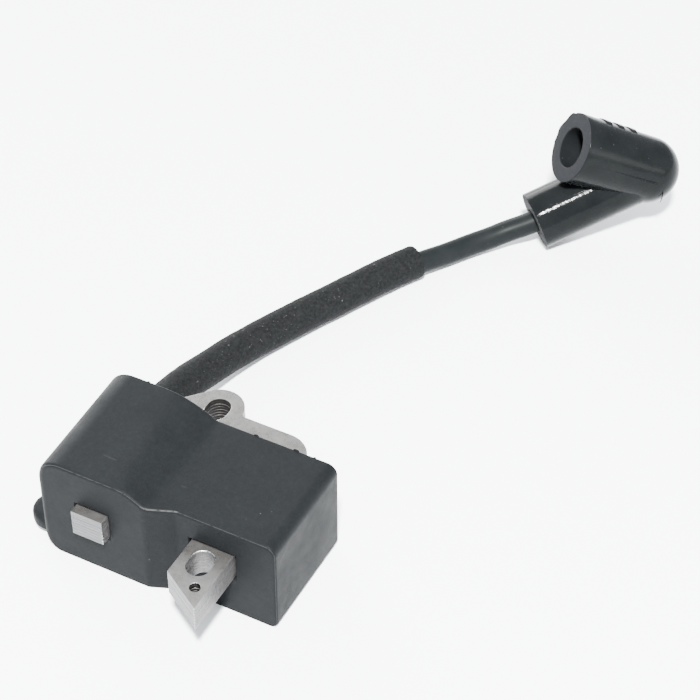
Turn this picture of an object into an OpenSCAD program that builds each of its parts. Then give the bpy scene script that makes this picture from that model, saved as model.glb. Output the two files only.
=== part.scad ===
/* [Core] */
// Distance between the centre lines of the two legs
leg_pitch = 24.9; // [22:0.1:27]
// Width of the left leg, which carries the coils
pole_leg_w = 6.8; // [6:0.1:8]
// Width of the right leg
outer_leg_w = 9; // [8:0.1:10]
// Height of the lamination stack
stack_h = 6; // [4:0.5:7]
// Number of laminations in the stack
lamination_n = 8; // [4:1:12]
// Underside of the stack above the floor
stack_z = 9.6; // [9:0.1:10.5]
// Radius of the flywheel circle that the pole faces follow
pole_circle_r = 47.8; // [40:0.1:60]
// How far the left pole stands in front of the box face
pole_reach = 4.75; // [4:0.05:6]
// Front edge of the yoke, behind the housing
yoke_y0 = 24.2; // [24.1:0.1:25]
// Rear edge of the yoke
yoke_y1 = 32.5; // [31:0.1:34]
// Width of the two fixing slots
slot_w = 4.8; // [4.2:0.1:5.2]
// Length of the two fixing slots, end to end
slot_l = 6.3; // [5.5:0.1:7]

/* [Housing] */
// Width of the barrel round the coils
barrel_w = 24; // [23:0.5:26]
// Top of the barrel at its rear rim
barrel_top = 25.4; // [25:0.1:26]
// Right face of the box, from the centre of the left leg
box_right = 38.4; // [37:0.1:41]
// Top of the box that holds the electronics
box_top = 21.8; // [21:0.1:22.5]
// Rear rim of the housing
rim_y = 23.9; // [23.5:0.1:24]
// Wall thickness of the moulding
wall = 1.5; // [1.2:0.1:1.6]

/* [Lead] */
// Outside diameter of the high tension lead
lead_d = 5; // [4.8:0.1:5]
// Outside diameter of the abrasion sleeve
sleeve_d = 7.5; // [7:0.1:7.6]

/* [Boot] */
// Outside diameter of the tube that grips the lead
cable_tube_d = 12.5; // [12:0.1:13.2]
// Length of that tube, mouth to the centre of the dome
cable_tube_l = 27; // [25:0.5:29]
// Outside diameter of the tube that goes over the spark plug
plug_tube_d = 14.9; // [14:0.1:16]
// Length of that tube, mouth to the centre of the dome
plug_tube_l = 19.9; // [18:0.1:22]
// Diameter of the plug bore
plug_bore_d = 9; // [8.6:0.1:9.4]
// Length of the plug bore, mouth to the chamber of the spring
plug_bore_l = 7.5; // [6:0.1:8]
// Diameter of the chamber that holds the contact spring
chamber_d = 7.6; // [7.6:0.1:8]
// Angle between the two tubes
boot_fold = 45; // [42:1:60]

/* [Hidden] */
$fn = 48;

// gap that keeps pieces of one body apart as separate solids
film = 0.02;
// how far a cutting tool runs past the face that it cuts
over = 1;
big = 200;

// core: x = 0 is the centre line of the left leg
core_zc = stack_z + stack_h / 2;
lam_pitch = stack_h / lamination_n;
pole_x = pole_leg_w / 2;
leg_x0 = leg_pitch - outer_leg_w / 2;
leg_x1 = leg_pitch + outer_leg_w / 2;
circle_y = -pole_reach - pole_circle_r;
bevel_a = asin(leg_pitch / pole_circle_r);
yoke_corner_r = 5.9;
inner_corner_r = 0.6;
// rear tab: a round lobe with a fillet into the yoke and one straight flank
tab_c = [7.2, yoke_y1 + 0.1];
tab_r = 5.05;
tab_flank_a = 137.8;
flare_r = 1;
flare_dy = flare_r + yoke_y1 - tab_c[1];
flare_c = tab_c + [sqrt((tab_r + flare_r) ^ 2 - flare_dy ^ 2), flare_dy];
flare_a = atan2(flare_dy, flare_c[0] - tab_c[0]);
flank_top = tab_c + tab_r * [cos(tab_flank_a), sin(tab_flank_a)];
flank_y = flank_top[1] - (flank_top[0] + pole_x) * tan(tab_flank_a - 90);
front_slot_c = [leg_pitch, -4.6];
rear_slot_c = [7.2, 31.8];
pilot_c = [27, -10.1];
pilot_d = 1.8;
rivet_d = 2;
rivet_c = [[0, 20.4], [leg_pitch, 17.5]];

// housing profiles
barrel_x0 = -barrel_w / 2;
barrel_y0 = -2.9;
box_y0 = -0.5;
barrel_x1 = 11.6;
slant_x1 = 17.4;
slant_a = atan2(box_y0 - barrel_y0, slant_x1 - barrel_x1);
low_r = 4.2;
shoulder_r = 5.6;
box_r = 2.2;
box_low_r = 1.7;
barrel_front_r = 2.5;
box_front_r = 2;
hump_c = 1;
hump_r = 20;
dip_r = 6.7;
hump_a = asin((box_top + dip_r - barrel_top + hump_r) / (hump_r + dip_r));
dip_c = [hump_c + (hump_r + dip_r) * cos(hump_a), box_top + dip_r];
front_drop = 1.1;
window_gap = [0.45, 0.35];
tunnel_wall = 1.2;
tunnel_x0 = leg_x0 - window_gap[0] - tunnel_wall;
tunnel_w = outer_leg_w + 2 * (window_gap[0] + tunnel_wall);
tunnel_z0 = stack_z - window_gap[1] - tunnel_wall;
tunnel_h = stack_h + 2 * (window_gap[1] + tunnel_wall);
resin_y = rim_y - 0.6;

// lug with the stop terminal, low on the left
lug_c = [-13.6, 3];
lug_r = 4;
lug_z0 = 1.2;
lug_z1 = 5;
lug_edge_r = 1.2;
blade_t = 0.8;
blade_w = 2.8;
blade_x = -14.6;
blade_z0 = (lug_z0 + lug_z1 - blade_w) / 2;
blade_y1 = 15;
lug_neck = 0.4;
stop_wire_y = 4.4;
stop_wire_z = 2.4;
stop_wire_d = 0.8;

// coils on the left leg
former_r = 5.4;
flange_t = 0.8;
charge_y0 = -1.3;
charge_y1 = 5.2;
charge_r = 8.4;
charge_flange_r = 9.2;
coil_y0 = 5.5;
coil_y1 = 17.4;
primary_r = 6.4;
primary_flange_r = 6.9;
secondary_in_r = 7;
secondary_former_r = 7.7;
secondary_r = 9.2;
secondary_flange_r = 9.6;
section_n = 4;
section_pitch = (coil_y1 - coil_y0 - flange_t) / section_n;
coil_space_r = 9.8;
bore_gap = 0.15;

// electronics, hung under the board below the tunnel
board_x0 = 13.4;
board_l = 23;
board_y0 = 1.8;
board_w = 20.4;
board_t = 1;
board_z0 = tunnel_z0 - film - board_t;
cap_size = [12.5, 10, 4.8];
cap_at = [14, 10.6];
thyristor_at = [19.4, 7];
thyristor_r = 2.3;
thyristor_h = 4.6;
thyristor_flat = 1.2;
chip_size = [4.9, 3.9, 1.5];
chip_at = [23, 4.4];
chip_pin_n = 4;
chip_pin_pitch = 1.27;
chip_pin = [0.4, 0.9, 0.25];
diode_at = [[33.6, 9], [33.6, 16.6]];
resistor_at = [[29.8, 5.8], [29.8, 12], [29.8, 18.2]];
wire_y = [2.4, 5.4, 7.2, 9.4];
wire_d = 0.7;
wire_z = 4.4;
wire_x0 = 5.9;
contact_w = 3;
contact_t = 0.4;
contact_l = 3.8;
contact_y = 13.8;

// lead
lead_x = -7.5;
lead_z = 9;
lead_y0 = 18.9;
socket_r = 4;
socket_bore_r = 3.1;
socket_y1 = 25.5;
core_bore_r = 0.7;
spike_base_r = 1.6;
spike_r = 0.6;
spike_y1 = 22;
lead_sides = 12;
sleeve_bore_r = 3.35;
boot_mouth = [34.2, 125, 6];
boot_pan = 45.5;
boot_rise = 18;
boot_roll = 7.5;
boot_dir = [cos(boot_rise) * cos(boot_pan), cos(boot_rise) * sin(boot_pan), sin(boot_rise)];
lead_in_boot = 16;
// centre line of the lead, from its end in the resin to just outside the boot
free_route = [
    [lead_x, lead_y0, lead_z],
    [lead_x, 22.2, lead_z],
    [lead_x, socket_y1, lead_z],
    [-7.5, 30, 8.9],
    [-7.3, 36, 8.3],
    [-6.7, 43, 6.8],
    [-5.7, 50, 5.2],
    [-4, 57.9, 4.1],
    [-1.4, 65.9, 3.4],
    [2.9, 75.9, 3.2],
    [7.6, 85.9, 3.2],
    [12.4, 95.9, 3.2],
    [16, 102.4, 3.1],
    [20, 108.8, 2.7],
    [23.4, 114, 2.8],
    [26.5, 117.9, 3.2],
    [29.4, 121, 4.1],
];
// centre line of the sleeve, which lies loosely on the lead
sleeve_route = [
    [lead_x, socket_y1, lead_z],
    [-7.5, 30, 9],
    [-7.3, 36, 8.6],
    [-6.8, 43, 7.3],
    [-5.9, 50, 5.8],
    [-4.2, 58, 4.7],
    [-1.6, 66, 4],
    [2.7, 76, 3.8],
    [7.4, 86, 3.8],
    [12.2, 96, 3.8],
    [15.8, 102.5, 3.8],
];
route = concat(free_route, [for (t = [-1, 6, 11.5, lead_in_boot]) boot_mouth + t * boot_dir]);
conductor_last = len(route) - 2;

// boot, in its own frame: the lead's tube runs along +x from its mouth
boot_bore_r = lead_d / 2 + 0.05;
boot_corner = [cable_tube_l, 0, 0];
plug_dir = [-cos(boot_fold), 0, sin(boot_fold)];
cup_s = 4.5;
prong_r = 0.6;
prong_x0 = 12;
cup_r = 3.7;
cup_t = 0.8;
spring_r = 3.1;
spring_wire_r = 0.45;
spring_turns = 4;
spring_pitch = 1.3;
spring_steps = 16;

// the frame's origin: centre of the module's box, on the floor
origin = [
    (lug_c[0] - lug_r + box_right) / 2,
    (bevel_y(leg_x1) + tab_c[1] + tab_r) / 2,
    0
];

plastic = [0.13, 0.135, 0.14];
steel = [0.72, 0.71, 0.68];
copper = [0.72, 0.4, 0.2];
nylon = [0.85, 0.83, 0.76];
tin = [0.78, 0.78, 0.76];
brass = [0.75, 0.62, 0.3];
rubber = [0.1, 0.1, 0.105];

// ---------- shared shapes ----------

function arc(c, r, a0, a1, n = 8) = [
    for (i = [0:n])
        let (a = a0 + (a1 - a0) * i / n)
        [c[0] + r * cos(a), c[1] + r * sin(a)]
];

// the bevel on the right leg's tip touches the flywheel circle at the leg's centre line
function bevel_y(x) =
    circle_y + pole_circle_r * cos(bevel_a) - (x - leg_pitch) * tan(bevel_a);

function unit(v) = v / norm(v);

function heading(p, i) =
    let (n = len(p) - 1)
    unit(p[min(i + 1, n)] - p[max(i - 1, 0)]);

function ring(p, i, r, sides) =
    let (t = heading(p, i), s = unit(cross([0, 0, 1], t)), u = cross(t, s))
    [for (k = [0:sides - 1]) p[i] + r * (cos(360 * k / sides) * s + sin(360 * k / sides) * u)];

function skin(first, n, sides, flip) = [
    for (i = [0:n - 2])
        for (k = [0:sides - 1])
            let (
                a = first + i * sides + k,
                b = first + i * sides + (k + 1) % sides,
                q = [a, b, b + sides, a + sides]
            )
            flip ? [q[3], q[2], q[1], q[0]] : q
];

// a solid rod swept along the points
module rod(p, r, sides) {
    n = len(p);
    points = [for (i = [0:n - 1]) each ring(p, i, r, sides)];
    start = [for (k = [0:sides - 1]) sides - 1 - k];
    end = [for (k = [0:sides - 1]) (n - 1) * sides + k];
    polyhedron(points, concat([start], skin(0, n, sides, false), [end]), convexity = 6);
}

// a pipe swept along the points
module pipe(p, r, bore_r, sides) {
    n = len(p);
    inner = n * sides;
    points = concat(
        [for (i = [0:n - 1]) each ring(p, i, r, sides)],
        [for (i = [0:n - 1]) each ring(p, i, bore_r, sides)]
    );
    start = [
        for (k = [0:sides - 1])
            let (j = (k + 1) % sides)
            [k, inner + k, inner + j, j]
    ];
    last = (n - 1) * sides;
    end = [
        for (k = [0:sides - 1])
            let (j = (k + 1) % sides)
            [last + j, last + inner + j, last + inner + k, last + k]
    ];
    polyhedron(
        points,
        concat(start, skin(0, n, sides, false), skin(inner, n, sides, true), end),
        convexity = 6
    );
}

module place() {
    translate(-origin)
        children();
}

// a cylinder along y, centred on the left leg or at x, z
module y_cyl(y0, y1, r, x = 0, z = core_zc) {
    translate([x, y0, z])
        rotate([-90, 0, 0])
            cylinder(h = y1 - y0, r = r);
}

module y_ring(y0, y1, r, bore_r) {
    difference() {
        y_cyl(y0, y1, r);
        y_cyl(y0 - over, y1 + over, bore_r);
    }
}

module block(low, high) {
    translate(low)
        cube(high - low);
}

module slot_2d(c) {
    translate(c) {
        square([slot_w, slot_l - slot_w], center = true);
        for (s = [-1, 1])
            translate([0, s * (slot_l - slot_w) / 2])
                circle(d = slot_w);
    }
}

// ---------- core ----------

module core_outline() {
    polygon(concat(
        [[-pole_x, -pole_reach], [pole_x, -pole_reach]],
        arc([pole_x + inner_corner_r, yoke_y0 - inner_corner_r], inner_corner_r, 180, 90, 4),
        arc([leg_x0 - inner_corner_r, yoke_y0 - inner_corner_r], inner_corner_r, 90, 0, 4),
        [[leg_x0, bevel_y(leg_x0)], [leg_x1, bevel_y(leg_x1)]],
        arc([leg_x1 - yoke_corner_r, yoke_y1 - yoke_corner_r], yoke_corner_r, 0, 90),
        arc(flare_c, flare_r, -90, flare_a - 180, 4),
        arc(tab_c, tab_r, flare_a, tab_flank_a, 12),
        [[-pole_x, flank_y]]
    ));
}

module core_laminations() {
    color(steel)
        place()
            for (i = [0:lamination_n - 1])
                translate([0, 0, stack_z + i * lam_pitch])
                    linear_extrude(lam_pitch - film)
                        difference() {
                            core_outline();
                            slot_2d(front_slot_c);
                            slot_2d(rear_slot_c);
                            translate(pilot_c)
                                circle(d = pilot_d);
                            for (c = rivet_c)
                                translate(c)
                                    circle(d = rivet_d + film);
                        }
}

module core_rivets() {
    color(tin)
        place()
            for (c = rivet_c)
                translate([c[0], c[1], stack_z])
                    cylinder(h = stack_h - film, d = rivet_d);
}

// ---------- housing ----------

// outline in x and z, drawn in by i
module side_2d(i) {
    polygon(concat(
        arc([barrel_x0 + low_r, low_r], low_r - i, 180, 270),
        arc([box_right - box_low_r, box_low_r], box_low_r - i, 270, 360),
        arc([box_right - box_r, box_top - box_r], box_r - i, 0, 90),
        arc(dip_c, dip_r + i, 270, 180 + hump_a, 5),
        arc([hump_c, barrel_top - hump_r], hump_r - i, hump_a, 90),
        arc([barrel_x0 + shoulder_r, barrel_top - shoulder_r], shoulder_r - i, 90, 180)
    ));
}

// outline in x and y, drawn in by i, up to y1
module plan_2d(i, y1) {
    shift = i * tan(slant_a / 2);
    polygon(concat(
        arc([barrel_x0, barrel_y0] + barrel_front_r * [1, 1], barrel_front_r - i, 180, 270, 6),
        [[barrel_x1 - shift, barrel_y0 + i], [slant_x1 - shift, box_y0 + i]],
        arc([box_right, box_y0] + box_front_r * [-1, 1], box_front_r - i, 270, 360, 6),
        [[box_right - i, y1], [barrel_x0 + i, y1]]
    ));
}

// outline in y and z: the top falls towards the front
module slope_2d(i, y1) {
    polygon([
        [barrel_y0 + i, i],
        [y1, i],
        [y1, barrel_top - i],
        [rim_y, barrel_top - i],
        [barrel_y0 + i, barrel_top - front_drop - i]
    ]);
}

module housing_form(i, y1) {
    intersection() {
        translate([0, y1, 0])
            rotate([90, 0, 0])
                linear_extrude(y1 - barrel_y0 + over)
                    side_2d(i);
        linear_extrude(barrel_top + over)
            plan_2d(i, y1);
        translate([barrel_x0 - over, 0, 0])
            rotate([90, 0, 90])
                linear_extrude(box_right - barrel_x0 + 2 * over)
                    slope_2d(i, y1);
    }
}

module tunnel() {
    block([tunnel_x0, box_y0 + 0.5, tunnel_z0],
        [tunnel_x0 + tunnel_w, resin_y, tunnel_z0 + tunnel_h]);
}

// round ear with soft edges, and its neck into the barrel's wall
module lug() {
    intersection() {
        translate([lug_c[0], lug_c[1], 0])
            rotate_extrude()
                polygon(concat(
                    [[0, lug_z0]],
                    arc([lug_r - lug_edge_r, lug_z0 + lug_edge_r], lug_edge_r, 270, 360, 4),
                    arc([lug_r - lug_edge_r, lug_z1 - lug_edge_r], lug_edge_r, 0, 90, 4),
                    [[0, lug_z1]]
                ));
        block([lug_c[0] - lug_r - over, lug_c[1] - lug_r - over, 0],
            [barrel_x0 + wall / 2, lug_c[1] + lug_r + over, barrel_top]);
    }
    block([lug_c[0], lug_c[1] - lug_r + lug_neck, lug_z0 + lug_neck],
        [barrel_x0 + wall / 2, lug_c[1] + lug_r - lug_neck, lug_z1 - lug_neck]);
}

module housing() {
    color(plastic)
        place()
            difference() {
                union() {
                    difference() {
                        housing_form(0, rim_y);
                        housing_form(wall, rim_y + over);
                    }
                    tunnel();
                    y_cyl(lead_y0, socket_y1, socket_r, lead_x, lead_z);
                    lug();
                }
                // window of the left leg
                block([-pole_x - 0.1, barrel_y0 - over, stack_z - 0.1],
                    [pole_x + 0.1, 0, stack_z + stack_h + 0.1]);
                // window and tunnel of the right leg
                block([leg_x0 - window_gap[0], box_y0 - over, stack_z - window_gap[1]],
                    [leg_x1 + window_gap[0], rim_y + over, stack_z + stack_h + window_gap[1]]);
                // slot for the ground contact
                block([leg_pitch - contact_w / 2 - 0.1, contact_y - 0.1, tunnel_z0 - over],
                    [leg_pitch + contact_w / 2 + 0.1, contact_y + contact_t + 0.1, stack_z]);
                y_cyl(lead_y0 - over, socket_y1 + over, socket_bore_r, lead_x, lead_z);
                // seat of the stop terminal, and the hole of its wire
                block([blade_x - blade_t / 2, lug_c[1], blade_z0],
                    [blade_x + blade_t / 2, lug_c[1] + lug_r + over, blade_z0 + blade_w]);
                translate([blade_x + blade_t / 2, stop_wire_y, stop_wire_z])
                    rotate([0, 90, 0])
                        cylinder(h = barrel_x0 + wall + over - blade_x, d = stop_wire_d);
            }
}

module potting_resin() {
    color([0.09, 0.09, 0.1])
        place()
            difference() {
                housing_form(wall, resin_y);
                y_cyl(barrel_y0, coil_y1 + 0.1, coil_space_r);
                block([-pole_x - film, 0, stack_z - film],
                    [pole_x + film, rim_y + over, stack_z + stack_h + film]);
                block([tunnel_x0, barrel_y0, tunnel_z0],
                    [tunnel_x0 + tunnel_w, rim_y + over, tunnel_z0 + tunnel_h]);
                y_cyl(lead_y0, rim_y + over, socket_r, lead_x, lead_z);
                y_cyl(coil_y1, lead_y0 + over, spike_base_r + 0.1, lead_x, lead_z);
                block([board_x0 - film, board_y0 - film, board_z0 - film],
                    [board_x0 + board_l + film, board_y0 + board_w + film, tunnel_z0 + film]);
                // room for what hangs under the board
                block([board_x0, board_y0 + 0.4, wall + 0.2],
                    [board_x0 + board_l - 0.2, board_y0 + board_w - 0.4, board_z0]);
                for (y = wire_y)
                    wire_run(y, wire_d + 0.1);
                stop_run(stop_wire_d + 0.2);
            }
}

// ---------- coils ----------

module leg_hole(y0, y1, gap) {
    block([-pole_x - gap, y0, stack_z - gap], [pole_x + gap, y1, stack_z + stack_h + gap]);
}

// a former on the leg with a flange at each end
module former(y0, y1, flange_r) {
    difference() {
        union() {
            y_cyl(y0, y1, former_r);
            y_cyl(y0, y0 + flange_t, flange_r);
            y_cyl(y1 - flange_t, y1, flange_r);
        }
        leg_hole(y0 - over, y1 + over, bore_gap);
    }
}

module charge_bobbin() {
    color(nylon)
        place()
            former(charge_y0, charge_y1, charge_flange_r);
}

module charge_winding() {
    color(copper)
        place()
            y_ring(charge_y0 + flange_t, charge_y1 - flange_t, charge_r, former_r);
}

module primary_bobbin() {
    color(nylon)
        place()
            former(coil_y0, coil_y1, primary_flange_r);
}

module primary_winding() {
    color(copper)
        place()
            y_ring(coil_y0 + flange_t, coil_y1 - flange_t, primary_r, former_r);
}

module secondary_bobbin() {
    color(nylon)
        place()
            difference() {
                union() {
                    y_cyl(coil_y0, coil_y1, secondary_former_r);
                    for (i = [0:section_n])
                        translate([0, coil_y0 + i * section_pitch, 0])
                            y_cyl(0, flange_t, secondary_flange_r);
                }
                y_cyl(coil_y0 - over, coil_y1 + over, secondary_in_r);
            }
}

module secondary_winding() {
    color([0.62, 0.3, 0.14])
        place()
            for (i = [0:section_n - 1])
                y_ring(coil_y0 + i * section_pitch + flange_t,
                    coil_y0 + (i + 1) * section_pitch, secondary_r, secondary_former_r);
}

module tension_spike() {
    color(brass)
        place() {
            y_cyl(coil_y1 + film, lead_y0 - film, spike_base_r, lead_x, lead_z);
            y_cyl(lead_y0 - 0.5, spike_y1, spike_r, lead_x, lead_z);
        }
}

// ---------- electronics ----------

module circuit_board() {
    color([0.1, 0.36, 0.2])
        place()
            block([board_x0, board_y0, board_z0],
                [board_x0 + board_l, board_y0 + board_w, board_z0 + board_t]);
}

module storage_capacitor() {
    color([0.75, 0.16, 0.1])
        place()
            translate([cap_at[0], cap_at[1], board_z0 - cap_size[2]])
                cube(cap_size);
}

module thyristor() {
    color([0.12, 0.12, 0.12])
        place()
            intersection() {
                translate([thyristor_at[0], thyristor_at[1], board_z0 - thyristor_h])
                    cylinder(h = thyristor_h, r = thyristor_r);
                translate([thyristor_at[0] - big / 2, thyristor_at[1] - thyristor_flat, 0])
                    cube(big);
            }
}

module timing_chip() {
    color([0.12, 0.12, 0.12])
        place() {
            translate([chip_at[0], chip_at[1], board_z0 - chip_size[2]])
                cube(chip_size);
            for (i = [0:chip_pin_n - 1])
                translate([chip_at[0] + chip_pin[0] + i * chip_pin_pitch,
                        chip_at[1] - chip_pin[1], board_z0 - chip_pin[2]])
                    cube([chip_pin[0], chip_size[1] + 2 * chip_pin[1], chip_pin[2]]);
        }
}

// an axial part lying along y under the board, with its two bent leads
module axial(c, body_r, body_l, lead_r) {
    z = board_z0 - body_r - 0.4;
    reach = body_l / 2 + 1.2;
    y_cyl(c[1] - body_l / 2, c[1] + body_l / 2, body_r, c[0], z);
    y_cyl(c[1] - reach, c[1] + reach, lead_r, c[0], z);
    for (s = [-1, 1])
        translate([c[0], c[1] + s * (reach - lead_r), z])
            cylinder(h = board_z0 - z, r = lead_r);
}

module rectifier_diodes() {
    color([0.14, 0.14, 0.15])
        place()
            for (c = diode_at)
                axial(c, 1.3, 4.2, 0.35);
}

module resistors() {
    color([0.78, 0.68, 0.48])
        place()
            for (c = resistor_at)
                axial(c, 0.9, 3.4, 0.25);
}

// a wire along x at height z, then up to the underside of the board
module bent_wire(x0, x1, y, z, d) {
    translate([x0, y, z])
        rotate([0, 90, 0])
            cylinder(h = x1 - x0, d = 0.8 * d);
    translate([x1, y, z - 0.6 * d])
        cylinder(h = board_z0 - z + 0.6 * d, d = d);
}

// a wire from a coil to the board
module wire_run(y, d) {
    bent_wire(wire_x0, board_x0 + 0.8, y, wire_z, d);
}

module jumper_wires() {
    color(copper)
        place()
            for (y = wire_y)
                wire_run(y, wire_d);
}

module ground_contact() {
    color(tin)
        place() {
            block([leg_pitch - contact_w / 2, contact_y, board_z0 + board_t],
                [leg_pitch + contact_w / 2, contact_y + contact_t, stack_z - film]);
            block([leg_pitch - contact_w / 2, contact_y, stack_z - 0.3],
                [leg_pitch + contact_w / 2, contact_y + contact_l, stack_z - film]);
        }
}

module stop_terminal() {
    color(brass)
        place()
            block([blade_x - blade_t / 2, lug_c[1] + 0.1, blade_z0],
                [blade_x + blade_t / 2, blade_y1, blade_z0 + blade_w]);
}

// the stop wire's way from the blade, under the coils, to the board
module stop_run(d) {
    bent_wire(blade_x + blade_t / 2, board_x0 + 1.6, stop_wire_y, stop_wire_z, d);
}

module stop_wire() {
    color(copper)
        place()
            stop_run(stop_wire_d);
}

// ---------- lead ----------

module lead_grommet() {
    color(rubber)
        place()
            difference() {
                y_cyl(lead_y0, socket_y1, socket_bore_r, lead_x, lead_z);
                y_cyl(lead_y0 - over, socket_y1 + over, lead_d / 2 + film, lead_x, lead_z);
            }
}

module lead_jacket() {
    color(rubber)
        place()
            pipe(route, lead_d / 2, core_bore_r, lead_sides);
}

module lead_conductor() {
    part = [for (i = [1:conductor_last - 1]) route[i]];
    color(copper)
        place()
            rod(part, core_bore_r - 0.05, lead_sides);
}

module lead_sleeve() {
    color([0.07, 0.07, 0.07])
        place()
            pipe(sleeve_route, sleeve_d / 2, sleeve_bore_r, lead_sides);
}

// ---------- boot ----------

module boot_place() {
    place()
        translate(boot_mouth)
            rotate([0, -boot_rise, boot_pan])
                rotate([-boot_roll, 0, 0])
                    children();
}

// turns +z to the plug's direction, from the centre of the dome
module plug_axis() {
    translate(boot_corner)
        rotate([0, boot_fold - 90, 0])
            children();
}

module plug_boot() {
    color(rubber)
        boot_place()
            difference() {
                union() {
                    rotate([0, 90, 0])
                        cylinder(h = cable_tube_l, d = cable_tube_d);
                    plug_axis()
                        rotate_extrude()
                            intersection() {
                                union() {
                                    circle(d = plug_tube_d);
                                    square([plug_tube_d / 2, plug_tube_l]);
                                }
                                translate([0, -big / 2])
                                    square([big, big]);
                            }
                }
                // bore of the lead
                translate([-over, 0, 0])
                    rotate([0, 90, 0])
                        cylinder(h = lead_in_boot + over + 0.1, r = boot_bore_r);
                plug_axis() {
                    translate([0, 0, cup_s])
                        cylinder(h = plug_tube_l - cup_s, d = chamber_d);
                    translate([0, 0, plug_tube_l - plug_bore_l])
                        cylinder(h = plug_bore_l + over, d = plug_bore_d);
                }
                // way of the terminal between the two bores
                rotate([0, 90, 0])
                    cylinder(h = cable_tube_l, r = prong_r + film);
                plug_axis()
                    cylinder(h = cup_s + over, r = prong_r + film);
                translate(boot_corner)
                    sphere(r = prong_r + film);
            }
}

module boot_terminal() {
    color(brass)
        boot_place() {
            translate([prong_x0, 0, 0])
                rotate([0, 90, 0])
                    cylinder(h = cable_tube_l - prong_x0, r = prong_r);
            translate(boot_corner)
                sphere(r = prong_r);
            plug_axis() {
                cylinder(h = cup_s + cup_t / 2, r = prong_r);
                translate([0, 0, cup_s])
                    cylinder(h = cup_t, r = cup_r);
            }
        }
}

module boot_spring() {
    steps = spring_turns * spring_steps;
    coil = [
        for (i = [0:steps])
            let (a = 360 * i / spring_steps)
            [spring_r * cos(a), spring_r * sin(a),
                cup_s + cup_t + spring_wire_r + film + spring_pitch * i / spring_steps]
    ];
    color(tin)
        boot_place()
            plug_axis()
                rod(coil, spring_wire_r, 6);
}

housing();
potting_resin();
core_laminations();
core_rivets();
charge_bobbin();
charge_winding();
primary_bobbin();
primary_winding();
secondary_bobbin();
secondary_winding();
tension_spike();
circuit_board();
storage_capacitor();
thyristor();
timing_chip();
rectifier_diodes();
resistors();
jumper_wires();
ground_contact();
stop_terminal();
stop_wire();
lead_grommet();
lead_jacket();
lead_conductor();
lead_sleeve();
plug_boot();
boot_terminal();
boot_spring();
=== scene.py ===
"""Looks of the ignition coil, built in the frame of its CAD model."""

import math
import random

import bmesh
import bpy
from mathutils import Matrix, Vector, noise


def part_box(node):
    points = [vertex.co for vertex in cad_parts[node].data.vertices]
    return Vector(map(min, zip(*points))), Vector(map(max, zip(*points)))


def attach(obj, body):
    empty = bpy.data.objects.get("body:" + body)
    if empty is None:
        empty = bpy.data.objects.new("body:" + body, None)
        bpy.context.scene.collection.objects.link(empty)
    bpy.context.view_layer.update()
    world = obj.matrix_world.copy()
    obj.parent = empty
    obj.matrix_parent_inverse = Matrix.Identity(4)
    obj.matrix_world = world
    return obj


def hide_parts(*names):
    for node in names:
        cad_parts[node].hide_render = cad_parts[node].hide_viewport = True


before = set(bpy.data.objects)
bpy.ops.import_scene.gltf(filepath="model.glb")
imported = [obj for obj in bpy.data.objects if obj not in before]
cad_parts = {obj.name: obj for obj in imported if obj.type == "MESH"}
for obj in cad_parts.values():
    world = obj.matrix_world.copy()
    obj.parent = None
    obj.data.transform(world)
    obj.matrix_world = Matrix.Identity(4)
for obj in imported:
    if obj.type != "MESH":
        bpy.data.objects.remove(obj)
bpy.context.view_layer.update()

MM = 0.001
SCENE = bpy.context.scene

# ---------- driving dimensions, in millimetres ----------
# They are the CAD part's own, apart from those marked "drawn".

# core
LEG_PITCH = 24.9
POLE_X = 3.4
OUTER_LEG_W = 9
LEG_X0 = LEG_PITCH - OUTER_LEG_W / 2
LEG_X1 = LEG_PITCH + OUTER_LEG_W / 2
STACK_H = 6
STACK_Z = 9.6
PLATES = 8
PLATE_PITCH = STACK_H / PLATES
PLATE_T = PLATE_PITCH - 0.02
POLE_CIRCLE_R = 47.8
POLE_REACH = 4.75
YOKE_Y0 = 24.2
YOKE_Y1 = 32.5
YOKE_CORNER_R = 5.9
TAB_C = (7.2, 32.6)
TAB_R = 5.05
TAB_FLANK_A = math.radians(137.8)
SLOT_W = 4.8
SLOT_L = 6.3
FRONT_SLOT = (LEG_PITCH, -4.6)
REAR_SLOT = (7.2, 31.8)
PILOT = (27, -10.1)
# drawn 0.2 larger than in the part
PILOT_R = 1.1

# housing
BARREL_X0 = -12
BARREL_Y0 = -2.9
BARREL_TOP = 25.4
BOX_RIGHT = 38.4
BOX_TOP = 21.8
BOX_Y0 = -0.5
RIM_Y = 23.9
RESIN_Y = 23.3
WALL = 1.5
LOW_R = 4.2
SHOULDER_R = 5.6
BOX_R = 2.2
BOX_LOW_R = 1.7
HUMP_R = 20
# drawn 0.5 further left and 4.2 tighter than in the part
HUMP_X = 0.5
DIP_R = 2.5
FRONT_DROP = 1.1
SLANT_X = (11.6, 17.4)
WINDOW_GAP = (0.45, 0.35)
TUNNEL_WALL = 1.2
LUG_C = (-13.6, 3)
LUG_R = 4
LUG_Z = (1.2, 5)
LUG_EDGE_R = 1.2
BLADE_X = -14.6
BLADE_T = 0.8
BLADE_W = 2.8
BLADE_Y1 = 15

# lead and its sleeve
LEAD_X = -7.5
LEAD_Z = 9
LEAD_R = 2.5
SLEEVE_R = 3.75
SLEEVE_BORE_R = 3.35
SOCKET_R = 4
SOCKET_BORE_R = 3.1
SOCKET_Y = (18.9, 25.5)

# boot: its own frame has x along the lead's tube, from the mouth
BOOT_MOUTH = (34.2, 125, 6)
BOOT_PAN = math.radians(45.5)
BOOT_RISE = math.radians(18)
BOOT_ROLL = math.radians(7.5)
BOOT_FOLD = math.radians(45)
# drawn: where round the cable tube it is rubbed smooth, degrees
RUBBED_AT = 229
CABLE_TUBE_R = 6.25
CABLE_TUBE_L = 27
PLUG_TUBE_R = 7.45
PLUG_TUBE_L = 19.9
PLUG_BORE_R = 4.5
PLUG_BORE_L = 7.5
CHAMBER_R = 3.8
CHAMBER_S = 4.5
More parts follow.
